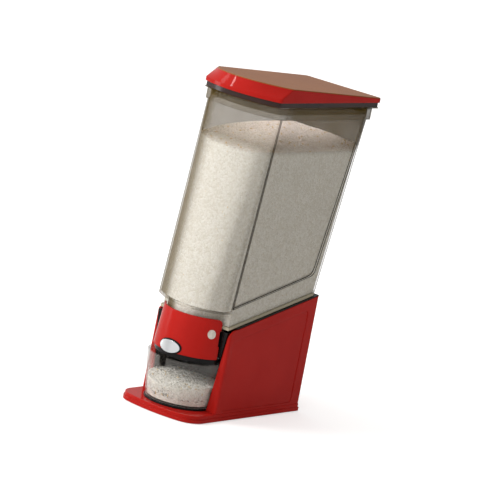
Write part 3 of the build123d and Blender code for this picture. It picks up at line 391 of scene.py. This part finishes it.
        # a rounded corner is looked at along its wall, where the tint adds up
        facing_out = add_node(tree, "ShaderNodeTexCoord").outputs["Normal"]
        turned = add_node(tree, "ShaderNodeSeparateXYZ", {0: facing_out})
        both = add_node(
            tree,
            "ShaderNodeMath",
            {0: turned.outputs[0], 1: turned.outputs[1]},
            operation="MULTIPLY",
        )
        both = add_node(tree, "ShaderNodeMath", {0: both.outputs[0]}, operation="ABSOLUTE")
        falloff = add_node(
            tree,
            "ShaderNodeMapRange",
            {
                "Value": both.outputs[0],
                "From Min": 0.18,
                "From Max": 0.36,
                "To Min": self.face_falloff,
                "To Max": self.corner_falloff,
            },
        )
        slant = add_node(
            tree, "ShaderNodeMath", {0: slant, 1: falloff.outputs[0]}, operation="POWER"
        )
        thick = add_node(
            tree,
            "ShaderNodeMapRange",
            {"Value": slant.outputs[0], "To Min": density.outputs[0], "To Max": self.full},
        )
        alpha = add_node(
            tree,
            "ShaderNodeMapRange",
            {"Value": drawn.outputs[0], "To Min": thick.outputs[0], "To Max": self.full},
        )
        tilt = math.radians(self.floor_slope)
        sole = add_node(
            tree,
            "ShaderNodeMapRange",
            {
                "Value": edge(-95.5, 132.3, -math.cos(tilt), -math.sin(tilt)),
                "From Min": (self.floor_mm - 0.6) * MM,
                "From Max": self.floor_mm * MM,
                "To Min": 1.0,
                "To Max": 0.0,
            },
        )
        alpha = add_node(
            tree,
            "ShaderNodeMapRange",
            {"Value": sole.outputs[0], "To Min": alpha.outputs[0], "To Max": self.sole},
        )
        tree.links.new(alpha.outputs[0], shader.inputs["Alpha"])
        film = add_node(
            tree,
            "ShaderNodeMix",
            {0: sole.outputs[0], 6: linear(self.colour), 7: linear(self.floor_colour)},
            data_type="RGBA",
        )
        # painted shade lines laid over the film colour
        colours = add_node(
            tree,
            "ShaderNodeMix",
            {0: drawn.outputs[0], 6: film.outputs[2], 7: linear(self.groove_shade_colour)},
            data_type="RGBA",
        )
        tree.links.new(colours.outputs[2], shader.inputs["Base Color"])
        ripple = add_node(
            tree,
            "ShaderNodeTexNoise",
            {"Vector": place, "Scale": per_metre(self.ripple_mm), "Detail": 1.0},
        )
        edge_round = add_node(tree, "ShaderNodeBevel", {"Radius": 0.7 * MM}, samples=4)
        bump = add_node(
            tree,
            "ShaderNodeBump",
            {
                "Strength": 1.0,
                "Distance": 0.05 * MM,
                "Height": ripple.outputs[0],
                "Normal": edge_round.outputs[0],
            },
        )
        tree.links.new(bump.outputs[0], shader.inputs["Normal"])
        rough = add_node(
            tree,
            "ShaderNodeMapRange",
            {"Value": flow.outputs[0], "To Min": 0.05, "To Max": 0.12},
        )
        tree.links.new(rough.outputs[0], shader.inputs["Roughness"])
        shader.inputs["IOR"].default_value = 1.3
        shader.inputs["Specular IOR Level"].default_value = 0.15
        return material


@dataclass(frozen=True)
class ClearWall(Finish):
    """Clear moulding: nearly invisible face on, bright and dense where seen edge on."""

    colour: str = "#CBC6BE"
    face: float = 0.07  # density of one surface seen face on
    edge: float = 0.8  # density seen edge on

    def build(self) -> bpy.types.Material:
        """Makes the clear wall."""
        material, tree, shader = self.start()
        place = add_node(tree, "ShaderNodeTexCoord").outputs["Object"]
        flow = add_node(
            tree,
            "ShaderNodeTexNoise",
            {"Vector": place, "Scale": per_metre(30.0), "Detail": 1.0},
        )
        rounded = add_node(tree, "ShaderNodeBevel", {"Radius": 0.6 * MM}, samples=4)
        bump = add_node(
            tree,
            "ShaderNodeBump",
            {
                "Strength": 1.0,
                "Distance": 0.06 * MM,
                "Height": flow.outputs[0],
                "Normal": rounded.outputs[0],
            },
        )
        tree.links.new(bump.outputs[0], shader.inputs["Normal"])
        rough = add_node(
            tree,
            "ShaderNodeMapRange",
            {"Value": flow.outputs[0], "To Min": 0.02, "To Max": 0.07},
        )
        tree.links.new(rough.outputs[0], shader.inputs["Roughness"])
        slant = add_node(tree, "ShaderNodeLayerWeight", {"Blend": 0.5}).outputs["Facing"]
        slant = add_node(tree, "ShaderNodeMath", {0: slant, 1: 3.5}, operation="POWER")
        alpha = add_node(
            tree,
            "ShaderNodeMapRange",
            {"Value": slant.outputs[0], "To Min": self.face, "To Max": self.edge},
        )
        tree.links.new(alpha.outputs[0], shader.inputs["Alpha"])
        shader.inputs["Base Color"].default_value = linear(self.colour)
        shader.inputs["Specular IOR Level"].default_value = 1.0
        shader.inputs["Coat Weight"].default_value = 1.0
        shader.inputs["Coat Roughness"].default_value = 0.03
        shader.inputs["IOR"].default_value = 1.59
        return material


@dataclass(frozen=True)
class Rice(Finish):
    """White milled rice: cream grains, some of them yellow, or the mass behind them."""

    pale: str = "#F8F5EE"
    cream: str = "#EBE5D8"
    yellow: str = "#DDC08A"
    yellow_share: float = 0.04
    loose: bool = True  # separate grains carry a tint of their own

    def build(self) -> bpy.types.Material:
        """Makes the rice, coloured grain by grain."""
        material, tree, shader = self.start()
        place = add_node(tree, "ShaderNodeTexCoord").outputs["Object"]
        if self.loose:
            tint = add_node(tree, "ShaderNodeAttribute", attribute_name="tint").outputs["Fac"]
        else:
            turned = add_node(
                tree,
                "ShaderNodeMapping",
                {"Vector": place, "Rotation": (0.4, 0.5, 0.7), "Scale": (1.0, 0.8, 0.9)},
            )
            cells = add_node(
                tree,
                "ShaderNodeTexVoronoi",
                {"Vector": turned.outputs[0], "Scale": per_metre(2.4)},
            )
            tint = add_node(
                tree, "ShaderNodeSeparateColor", {0: cells.outputs["Color"]}
            ).outputs[0]
            bump = add_node(
                tree,
                "ShaderNodeBump",
                {"Strength": 1.0, "Distance": 0.8 * MM, "Height": cells.outputs["Distance"]},
                invert=True,
            )
            tree.links.new(bump.outputs[0], shader.inputs["Normal"])
        clouds = add_node(
            tree,
            "ShaderNodeTexNoise",
            {"Vector": place, "Scale": per_metre(28.0), "Detail": 4.0},
        )
        limit = add_node(
            tree,
            "ShaderNodeMapRange",
            {
                "Value": clouds.outputs[0],
                "From Min": 0.35,
                "From Max": 0.7,
                "To Min": 1.0 - 0.4 * self.yellow_share,
                "To Max": 1.0 - 2.2 * self.yellow_share,
            },
        )
        stained = add_node(
            tree, "ShaderNodeMath", {0: tint, 1: limit.outputs[0]}, operation="GREATER_THAN"
        )
        whites = add_node(
            tree,
            "ShaderNodeMix",
            {0: tint, 6: linear(self.pale), 7: linear(self.cream)},
            data_type="RGBA",
        )
        colours = add_node(
            tree,
            "ShaderNodeMix",
            {0: stained.outputs[0], 6: whites.outputs[2], 7: linear(self.yellow)},
            data_type="RGBA",
        )
        tree.links.new(colours.outputs[2], shader.inputs["Base Color"])
        rough = add_node(
            tree,
            "ShaderNodeMapRange",
            {"Value": clouds.outputs[0], "To Min": 0.4, "To Max": 0.6},
        )
        tree.links.new(rough.outputs[0], shader.inputs["Roughness"])
        return material


# Moulded ABS, polished tool: a deep wet red with sharp reflections
RED_ABS = Moulded(
    "red moulded ABS", "#B4201A", "#AC1C16", sheen=Sheen.POLISHED, sheen_spread=0.04,
    texture_mm=9.0, texture_depth=0.03, edge_mm=0.9, specular=0.08,
)
# Moulded ABS, black: shows as dark gaps with thin glints
BLACK_ABS = Moulded(
    "black moulded ABS", "#0E0D0D", "#161414", sheen=Sheen.GLOSS, texture_mm=6.0,
    texture_depth=0.03, edge_mm=0.5, specular=0.18,
)
# Painted polypropylene, a flat bronze brown with a soft sheen
BRONZE_PANEL = Moulded(
    "bronze painted polypropylene", "#9C6236", "#925A33", drift_mm=120.0, sheen=Sheen.SATIN,
    texture_mm=0.9, texture_depth=0.015, edge_mm=0.4, specular=0.05,
)
# Silicone seal, dark brown, smooth and a little shiny
SEAL = Moulded(
    "dark brown silicone", "#2B1A18", "#38241F", sheen=Sheen.GLOSS, sheen_spread=0.08,
    texture_mm=2.0, texture_depth=0.02, edge_mm=0.4, specular=0.25, coat=0.05,
)
# Moulded rubber: grey black and dull
RUBBER = Moulded(
    "black moulded rubber", "#1C1B1A", "#242322", sheen=Sheen.MATT, texture_mm=0.8,
    texture_depth=0.05, edge_mm=0.5,
)
# Chrome-plated ABS: a mirror with faint grinding marks across it
CHROME = Moulded(
    "chrome-plated ABS", "#DADBDC", "#CFD1D3", sheen=Sheen.POLISHED, sheen_spread=0.05,
    texture_mm=1.6, texture_depth=0.01, edge_mm=0.8, metallic=1.0, grain_stretch=(1.0, 1.0, 8.0),
)
# Zinc-plated steel: grey metal with a drawn grain
STEEL = Moulded(
    "zinc-plated steel", "#B9BAB8", "#A3A5A6", drift_mm=8.0, sheen=Sheen.SATIN, texture_mm=0.5,
    texture_depth=0.02, edge_mm=0.2, metallic=1.0,
)
# Moulded polypropylene, natural white and waxy
WHITE_PP = Moulded(
    "white moulded polypropylene", "#E4E1D8", "#D9D5CA", sheen=Sheen.SATIN, texture_mm=1.0,
    texture_depth=0.03, edge_mm=0.4,
)
# Plain metallised badge: pale and bright, without any mark
BADGE = Moulded(
    "pale metallised label", "#E6DFD2", "#CFC7B8", drift_mm=4.0, sheen=Sheen.GLOSS,
    texture_mm=1.5, texture_depth=0.08, edge_mm=0.4, metallic=0.4,
)
SMOKY = SmokyWall("smoke-tinted polycarbonate")
CLEAR = ClearWall("clear moulded styrene")
GRAINS = Rice("milled rice grains")
MASS = Rice(
    "packed milled rice", pale="#F0ECE2", cream="#DED7C8", yellow="#DED7C8", loose=False
)


class Cupboard:
    """Keeps each finish's material, made the first time that it is asked for."""

    made: dict[str, bpy.types.Material] = {}

    @classmethod
    def take(cls, finish: Finish) -> bpy.types.Material:
        """Material of a finish.

        Args:
            finish: The finish that is wanted.

        Returns:
            Its material, the same one each time.
        """
        if finish.name not in cls.made:
            cls.made[finish.name] = finish.build()
        return cls.made[finish.name]


def dress(finishes: dict[str, Finish]) -> None:
    """Gives CAD nodes their finishes.

    Args:
        finishes: Node name to finish.
    """
    for name, finish in finishes.items():
        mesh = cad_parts[name].data
        material = Cupboard.take(finish)
        for index in range(max(len(mesh.materials), 1)):
            if index < len(mesh.materials):
                mesh.materials[index] = material
            else:
                mesh.materials.append(material)
        log.info("%s: %s", name, finish.name)


def merged(name: str) -> bmesh.types.BMesh:
    """Copy of a CAD node's mesh, with its loose triangles joined."""
    mesh = bmesh.new()
    mesh.from_mesh(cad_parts[name].data)
    bmesh.ops.remove_doubles(mesh, verts=mesh.verts, dist=0.02 * MM)
    mesh.normal_update()
    return mesh


def link(name: str, mesh: bpy.types.Mesh) -> bpy.types.Object:
    """Puts a mesh in the scene under a name, at the origin."""
    piece = bpy.data.objects.new(name, mesh)
    bpy.context.scene.collection.objects.link(piece)
    return piece


def grown(piece: bpy.types.Object, tree: bpy.types.NodeTree, values: dict[str, object]) -> None:
    """Runs a geometry tree on a piece and keeps its result as a plain mesh.

    Args:
        piece: Object whose mesh the tree starts from.
        tree: Geometry tree.
        values: Input name to value.
    """
    modifier = piece.modifiers.new("grow", "NODES")
    modifier.node_group = tree
    for item in tree.interface.items_tree:
        if item.item_type == "SOCKET" and item.in_out == "INPUT" and item.name in values:
            modifier[item.identifier] = values[item.name]
    bpy.context.view_layer.update()
    graph = bpy.context.evaluated_depsgraph_get()
    result = bpy.data.meshes.new_from_object(
        piece.evaluated_get(graph), preserve_all_data_layers=True, depsgraph=graph
    )
    piece.modifiers.remove(modifier)
    old = piece.data
    piece.data = result
    result.name = piece.name
    bpy.data.meshes.remove(old)


# ------------------------------------------------------------------ rice
@dataclass(frozen=True)
class FlaredBox:
    """Room for rice in the drawer, growing towards its rim, in millimetres."""

    foot_z: float = 14.3
    height: float = 66.2
    half: float = 48.15  # half width at the foot
    flare: float = 6.5  # how far each side leans out over the height
    front: float = -140.65
    front_rake: float = -9.0
    rear: float = -34.35
    rear_rake: float = 8.0
    still_z: float = 40.0  # under this height the load stays as its solid is

    def at(self, z: float) -> tuple[float, float, float]:
        """Half width, front and rear of the load at height z."""
        share = (z - self.foot_z) / self.height
        return (
            self.half + self.flare * share,
            self.front + self.front_rake * share,
            self.rear + self.rear_rake * share,
        )


@dataclass
class RiceLoad:
    """Grains laid over one load of rice, side by side."""

    node: str
    body: str
    prefix: str
    sides: tuple[RiceSide, ...]
    grain_length: float = 6.0 * MM
    grain_width: float = 2.1 * MM
    spacing: float = 2.1 * MM
    density: float = 115000.0  # grains on a square metre
    sink: float = 0.85 * MM  # grain's axis under the load's surface
    proud: float = 0.25 * MM  # most that a grain stands out towards a wall
    wall_slope: float = 0.75  # normal's upward part, under which a face lies on a wall
    floor_y: float = 0.0  # plane below which no grain is laid, through (floor_y, floor_z)
    floor_z: float = 0.0
    floor_slope: float = 0.0  # degrees
    drop: float = 0.0  # top of the load under its solid's top
    box: FlaredBox = FlaredBox()  # walls that a dropped load follows
    top_tilt: float = 0.45  # most that a grain on the free top leans, in radians
    presses: int = 4  # times that grains are pressed back, for corners of several walls
    seed: int = 7

    def plant(self) -> bpy.types.NodeTree:
        """Builds the geometry tree that lays grains on a surface.

        Returns:
            The tree.
        """
        tree = bpy.data.node_groups.new("laid_grains", "GeometryNodeTree")
        sockets = (
            ("Surface", "NodeSocketGeometry"),
            ("Grain Length", "NodeSocketFloat"),
            ("Grain Width", "NodeSocketFloat"),
            ("Spacing", "NodeSocketFloat"),
            ("Density", "NodeSocketFloat"),
            ("Sink", "NodeSocketFloat"),
            ("Tilt", "NodeSocketFloat"),
            ("Seed", "NodeSocketInt"),
            ("Finish", "NodeSocketMaterial"),
        )
        for name, kind in sockets:
            tree.interface.new_socket(name=name, in_out="INPUT", socket_type=kind)
        tree.interface.new_socket(
            name="Grains", in_out="OUTPUT", socket_type="NodeSocketGeometry"
        )
        given = add_node(tree, "NodeGroupInput").outputs
        laid = add_node(
            tree,
            "GeometryNodeDistributePointsOnFaces",
            {
                "Mesh": given["Surface"],
                "Distance Min": given["Spacing"],
                "Density Max": given["Density"],
                "Seed": given["Seed"],
            },
            distribute_method="POISSON",
        )
        down = add_node(tree, "ShaderNodeMath", {0: given["Sink"], 1: -1.0}, operation="MULTIPLY")
        shift = add_node(
            tree,
            "ShaderNodeVectorMath",
            {0: laid.outputs["Normal"], "Scale": down.outputs[0]},
            operation="SCALE",
        )
        sunk = add_node(
            tree,
            "GeometryNodeSetPosition",
            {"Geometry": laid.outputs["Points"], "Offset": shift.outputs[0]},
        )
        back = add_node(tree, "ShaderNodeMath", {0: given["Tilt"], 1: -1.0}, operation="MULTIPLY")
        lowest = add_node(
            tree, "ShaderNodeCombineXYZ", {0: back.outputs[0], 1: back.outputs[0], 2: 0.0}
        )
        highest = add_node(
            tree, "ShaderNodeCombineXYZ", {0: given["Tilt"], 1: given["Tilt"], 2: math.tau}
        )
        turn = add_node(
            tree,
            "FunctionNodeRandomValue",
            {0: lowest.outputs[0], 1: highest.outputs[0], "Seed": given["Seed"]},
            data_type="FLOAT_VECTOR",
        )
        spun = add_node(tree, "FunctionNodeEulerToRotation", {0: turn.outputs[0]})
        lying = add_node(
            tree,
            "FunctionNodeRotateRotation",
            {"Rotation": laid.outputs["Rotation"], "Rotate By": spun.outputs[0]},
            rotation_space="LOCAL",
        )
        half_width = add_node(
            tree, "ShaderNodeMath", {0: given["Grain Width"], 1: 0.5}, operation="MULTIPLY"
        ).outputs[0]
        half_length = add_node(
            tree, "ShaderNodeMath", {0: given["Grain Length"], 1: 0.5}, operation="MULTIPLY"
        ).outputs[0]
        seed_form = add_node(
            tree, "GeometryNodeMeshUVSphere", {"Segments": 5, "Rings": 4, "Radius": 1.0}
        )
        size = add_node(
            tree, "ShaderNodeCombineXYZ", {0: half_width, 1: half_width, 2: half_length}
        )
        grain = add_node(
            tree,
            "GeometryNodeTransform",
            {
                "Geometry": seed_form.outputs["Mesh"],
                "Rotation": (0.0, math.pi / 2, 0.0),
                "Scale": size.outputs[0],
            },
        )
        smooth = add_node(tree, "GeometryNodeSetShadeSmooth", {"Geometry": grain.outputs[0]})
        scale = add_node(
            tree,
            "FunctionNodeRandomValue",
            {2: 0.8, 3: 1.1, "Seed": 3},
            data_type="FLOAT",
        )
        scattered = add_node(
            tree,
            "GeometryNodeInstanceOnPoints",
            {
                "Points": sunk.outputs[0],
                "Instance": smooth.outputs[0],
                "Rotation": lying.outputs[0],
                "Scale": scale.outputs[1],
            },
        )
        tint = add_node(
            tree, "FunctionNodeRandomValue", {2: 0.0, 3: 1.0, "Seed": 11}, data_type="FLOAT"
        )
        tinted = add_node(
            tree,
            "GeometryNodeStoreNamedAttribute",
            {"Geometry": scattered.outputs[0], "Name": "tint", "Value": tint.outputs[1]},
            data_type="FLOAT",
            domain="INSTANCE",
        )
        real = add_node(tree, "GeometryNodeRealizeInstances", {"Geometry": tinted.outputs[0]})
        dressed = add_node(
            tree,
            "GeometryNodeSetMaterial",
            {"Geometry": real.outputs[0], "Material": given["Finish"]},
        )
        add_node(tree, "NodeGroupOutput", {0: dressed.outputs[0]})
        return tree

    def settled(self, mesh: bmesh.types.BMesh) -> None:
        """Lets the load's top down along the drawer's flared walls.

        Args:
            mesh: Copy of the load's solid.
        """
        for vertex in mesh.verts:
            z = vertex.co.z / MM
            if z < self.box.still_z:
                continue
            wide, near, far = self.box.at(z)
            wide_low, near_low, far_low = self.box.at(z - self.drop / MM)
            share = (vertex.co.y / MM - near) / (far - near)
            vertex.co.x *= wide_low / wide
            vertex.co.y = (near_low + share * (far_low - near_low)) * MM
            vertex.co.z -= self.drop

    def mass(self) -> None:
        """Makes the load behind the grains, where it differs from its solid."""
        mesh = merged(self.node)
        self.settled(mesh)
        made = bpy.data.meshes.new(f"{self.prefix}_mass")
        mesh.to_mesh(made)
        mesh.free()
        made.materials.append(Cupboard.take(MASS))
        piece = link(made.name, made)
        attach(piece, self.body)
        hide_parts(self.node)
        log.info("%s: settled by %.0f mm", piece.name, self.drop / MM)

    def kept_in(self, piece: bpy.types.Object) -> None:
        """Presses grains flat against the walls.

        A few points at sharp inner corners of the hopper aren't reached, because the
        nearest face there doesn't tell inside from outside.

        Args:
            piece: Grains of one side.
        """
        mesh = merged(self.node)
        free = [f for f in mesh.faces if f.normal.z > self.wall_slope]
        bmesh.ops.delete(mesh, geom=free, context="FACES")
        walls = BVHTree.FromBMesh(mesh)
        mesh.free()
        for _ in range(self.presses):
            for vertex in piece.data.vertices:
                place, normal, _, _ = walls.find_nearest(vertex.co)
                over = (vertex.co - place).dot(normal) - self.proud
                if over > 0.0:
                    vertex.co -= normal * over
        piece.data.update()

    def sheet(self, side: RiceSide) -> bpy.types.Mesh:
        """Surface of the load on one side, above the plane where grains stop.

        Args:
            side: Side that is wanted.

        Returns:
            Its faces as a mesh.
        """
        mesh = merged(self.node)
        if self.drop:
            self.settled(mesh)
            mesh.normal_update()
        other = [f for f in mesh.faces if RiceSide.of(f.normal) is not side]
        bmesh.ops.delete(mesh, geom=other, context="FACES")
        angle = math.radians(self.floor_slope)
        bmesh.ops.bisect_plane(
            mesh,
            geom=mesh.verts[:] + mesh.edges[:] + mesh.faces[:],
            plane_co=(0.0, self.floor_y, self.floor_z),
            plane_no=(0.0, -math.sin(angle), math.cos(angle)),
            clear_inner=True,
        )
        made = bpy.data.meshes.new(f"{self.prefix}_{side.value}")
        mesh.to_mesh(made)
        mesh.free()
        return made

    def build(self) -> None:
        """Lays the grains, one piece for each side."""
        if self.drop:
            self.mass()
        tree = self.plant()
        for number, side in enumerate(self.sides):
            piece = link(f"{self.prefix}_{side.value}", self.sheet(side))
            grown(
                piece,
                tree,
                {
                    "Grain Length": self.grain_length,
                    "Grain Width": self.grain_width,
                    "Spacing": self.spacing,
                    "Density": self.density,
                    "Sink": 0.0 if side is RiceSide.TOP else self.sink,
                    "Tilt": self.top_tilt if side is RiceSide.TOP else 0.0,
                    "Seed": self.seed + number,
                    "Finish": Cupboard.take(GRAINS),
                },
            )
            self.kept_in(piece)
            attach(piece, self.body)
            log.info("%s: %d faces", piece.name, len(piece.data.polygons))
            if not piece.data.polygons:
                raise RuntimeError(f"{piece.name} has no grains")


# ------------------------------------------------------------------ sub-assemblies
@dataclass
class BaseUnit:
    """Plate, shell, cover and the fixed mouldings between them."""

    finishes: dict[str, Finish] = field(
        default_factory=lambda: {
            "base_plate": RED_ABS,
            "base_shell": RED_ABS,
            "front_cover": RED_ABS,
            "drawer_bay": BLACK_ABS,
            "drawer_seat": BLACK_ABS,
            "hopper_frame": BLACK_ABS,
            "chute": BLACK_ABS,
            "button_guide": BLACK_ABS,
            "mechanism_frame": BLACK_ABS,
            "metering_chamber": WHITE_PP,
            "base_screws": STEEL,
            "mechanism_screws": STEEL,
            "guide_screws": STEEL,
            "rubber_feet": RUBBER,
            "badge": BADGE,
        }
    )

    def build(self) -> None:
        """Dresses the base."""
        dress(self.finishes)


@dataclass
class PushMechanism:
    """Button, rod, gates and spring."""

    finishes: dict[str, Finish] = field(
        default_factory=lambda: {
            "push_button": CHROME,
            "push_rod": BLACK_ABS,
            "gate_yoke": BLACK_ABS,
            "spring_plate": BLACK_ABS,
            "upper_gate": WHITE_PP,
            "lower_gate": WHITE_PP,
            "return_spring": STEEL,
        }
    )

    def build(self) -> None:
        """Dresses the moving parts behind the button."""
        dress(self.finishes)


@dataclass
class HopperUnit:
    """Smoky hopper with its rice."""

    grains: RiceLoad = field(
        default_factory=lambda: RiceLoad(
            "rice_fill",
            "hopper_body",
            "hopper_grains",
            tuple(RiceSide),
            floor_y=-95.5 * MM,
            floor_z=135.5 * MM,
            floor_slope=12.4,
        )
    )

    def build(self) -> None:
        """Dresses the hopper and lays its rice."""
        dress({"hopper": SMOKY, "rice_fill": MASS})
        self.grains.build()


@dataclass
class LidUnit:
    """Red lid with its bronze panel, seal and liner."""

    finishes: dict[str, Finish] = field(
        default_factory=lambda: {
            "lid_shell": RED_ABS,
            "lid_top_panel": BRONZE_PANEL,
            "lid_seal": SEAL,
            "lid_liner": SMOKY,
        }
    )

    def build(self) -> None:
        """Dresses the lid."""
        dress(self.finishes)


@dataclass
class DrawerUnit:
    """Clear measuring drawer with its rice."""

    grains: RiceLoad = field(
        default_factory=lambda: RiceLoad(
            "drawer_rice",
            "drawer_body",
            "drawer_grains",
            tuple(RiceSide),
            floor_z=17.0 * MM,
            drop=18.0 * MM,
            seed=31,
        )
    )

    def build(self) -> None:
        """Dresses the drawer and lays its rice."""
        dress({"drawer": CLEAR, "drawer_rice": MASS})
        self.grains.build()


# ------------------------------------------------------------------ studio
@dataclass
class Studio:
    """Floor, world, lamps and camera."""

    target: Vector = field(default_factory=lambda: Vector((20.3, -23.3, 238.3)) * MM)
    azimuth: float = 35.5
    elevation: float = 11.31
    roll: float = 11.44
    distance: float = 4536 * MM
    lens: float = 3163.0 / 500.0 * 36.0
    bright: float = 1.15  # world on the lit side
    dim: float = 0.16  # world on the shaded side
    fill_place: tuple[float, float, float] = (0.0, 0.02, 0.4465)  # just under the lid
    fill_size: tuple[float, float] = (0.11, 0.19)
    fill_power: float = 0.12  # watts

    def camera(self) -> None:
        """Makes the camera at the photograph's angle."""
        a, e, roll = (math.radians(v) for v in (self.azimuth, self.elevation, self.roll))
        back = Vector((math.sin(a) * math.cos(e), -math.cos(a) * math.cos(e), math.sin(e)))
        right = Vector((math.cos(a), math.sin(a), 0.0))
        up = back.cross(right)
        across = math.cos(roll) * right + math.sin(roll) * up
        upward = -math.sin(roll) * right + math.cos(roll) * up
        data = bpy.data.cameras.new("camera")
        data.sensor_width = 36.0
        data.lens = self.lens
        data.clip_end = 50.0
        camera = bpy.data.objects.new("camera", data)
        pose = Matrix((across, upward, back)).transposed().to_4x4()
        pose.translation = self.target + back * self.distance
        camera.matrix_world = pose
        bpy.context.scene.collection.objects.link(camera)
        bpy.context.scene.camera = camera

    def world(self) -> None:
        """Makes the world: white behind the object, and lit from the left and front."""
        world = bpy.data.worlds.new("studio")
        world.use_nodes = True
        tree = world.node_tree
        tree.nodes.clear()
        path = add_node(tree, "ShaderNodeLightPath").outputs
        way = add_node(tree, "ShaderNodeTexCoord").outputs["Generated"]
        toward = Vector((-0.62, -0.70, 0.35)).normalized()
        lit = add_node(
            tree, "ShaderNodeVectorMath", {0: way, 1: tuple(toward)}, operation="DOT_PRODUCT"
        )
        level = add_node(
            tree,
            "ShaderNodeMapRange",
            {
                "Value": lit.outputs["Value"],
                "From Min": -0.75,
                "From Max": 0.85,
                "To Min": self.dim,
                "To Max": self.bright,
            },
        )
        first = add_node(
            tree, "ShaderNodeMath", {0: path["Diffuse Depth"], 1: 0.5}, operation="LESS_THAN"
        )
        seen = add_node(
            tree,
            "ShaderNodeMath",
            {0: path["Is Camera Ray"], 1: path["Is Transmission Ray"]},
            operation="MAXIMUM",
        )
        seen = add_node(
            tree, "ShaderNodeMath", {0: seen.outputs[0], 1: first.outputs[0]}, operation="MULTIPLY"
        )
        strength = add_node(
            tree,
            "ShaderNodeMapRange",
            {"Value": seen.outputs[0], "To Min": level.outputs[0], "To Max": 1.0},
        )
        sky = add_node(
            tree,
            "ShaderNodeBackground",
            {"Color": (1.0, 1.0, 1.0, 1.0), "Strength": strength.outputs[0]},
        )
        add_node(tree, "ShaderNodeOutputWorld", {0: sky.outputs[0]})
        bpy.context.scene.world = world

    def floor(self) -> None:
        """Makes the pale floor, white to the camera but for the object's shadow."""
        material = bpy.data.materials.new("pale studio floor")
        material.use_nodes = True
        tree = material.node_tree
        tree.nodes.clear()
        path = add_node(tree, "ShaderNodeLightPath").outputs
        seen = add_node(
            tree,
            "ShaderNodeMath",
            {0: path["Is Camera Ray"], 1: path["Is Transmission Ray"]},
            operation="MAXIMUM",
        )
        lift = add_node(
            tree, "ShaderNodeMapRange", {"Value": seen.outputs[0], "To Min": 0.0, "To Max": 0.5}
        )
        shader = add_node(
            tree,
            "ShaderNodeBsdfPrincipled",
            {
                "Base Color": linear("#E9E8E6"),
                "Roughness": 0.9,
                "Specular IOR Level": 0.1,
                "Emission Color": (1.0, 1.0, 1.0, 1.0),
                "Emission Strength": lift.outputs[0],
            },
        )
        add_node(tree, "ShaderNodeOutputMaterial", {"Surface": shader.outputs[0]})
        mesh = bmesh.new()
        bmesh.ops.create_grid(mesh, x_segments=1, y_segments=1, size=12.0)
        data = bpy.data.meshes.new("floor")
        mesh.to_mesh(data)
        mesh.free()
        data.materials.append(material)
        link("floor", data)

    def lamp(self, name: str, place: Vector, size: tuple[float, float], power: float) -> None:
        """Makes a soft lamp that faces the object.

        Args:
            name: Name of the lamp.
            place: Where it hangs.
            size: Width and height of its panel.
            power: Watts.
        """
        data = bpy.data.lights.new(name, "AREA")
        data.shape = "RECTANGLE"
        data.size, data.size_y = size
        data.energy = power
        lamp = bpy.data.objects.new(name, data)
        lamp.matrix_world = (
            (place - self.target).to_track_quat("Z", "Y").to_matrix().to_4x4()
        )
        lamp.matrix_world.translation = place
        bpy.context.scene.collection.objects.link(lamp)

    def fill_under_lid(self) -> None:
        """Hangs a weak lamp inside the hopper at rest, which brightens the heap."""
        data = bpy.data.lights.new("heap_fill", "AREA")
        data.shape = "RECTANGLE"
        data.size, data.size_y = self.fill_size
        data.energy = self.fill_power
        lamp = bpy.data.objects.new("heap_fill", data)
        lamp.location = self.fill_place
        lamp.visible_camera = lamp.visible_glossy = lamp.visible_transmission = False
        bpy.context.scene.collection.objects.link(lamp)

    def build(self) -> None:
        """Makes the studio."""
        bpy.context.scene.view_settings.view_transform = "Standard"
        self.camera()
        self.world()
        self.floor()
        self.lamp("key", Vector((-1.5, -2.3, 2.0)), (1.0, 1.0), 34.0)
        self.lamp("spark", Vector((-1.9, -2.0, 0.9)), (0.14, 0.14), 3.4)
        self.lamp("panel", Vector((-2.3, -1.1, 0.6)), (0.5, 1.4), 9.0)
        self.fill_under_lid()
        log.info("studio ready")


def main() -> None:
    """Builds the studio and dresses every sub-assembly."""
    logging.basicConfig(level=logging.INFO, format="%(message)s")
    Studio().build()
    BaseUnit().build()
    PushMechanism().build()
    HopperUnit().build()
    LidUnit().build()
    DrawerUnit().build()


if __name__ == "__main__":
    main()
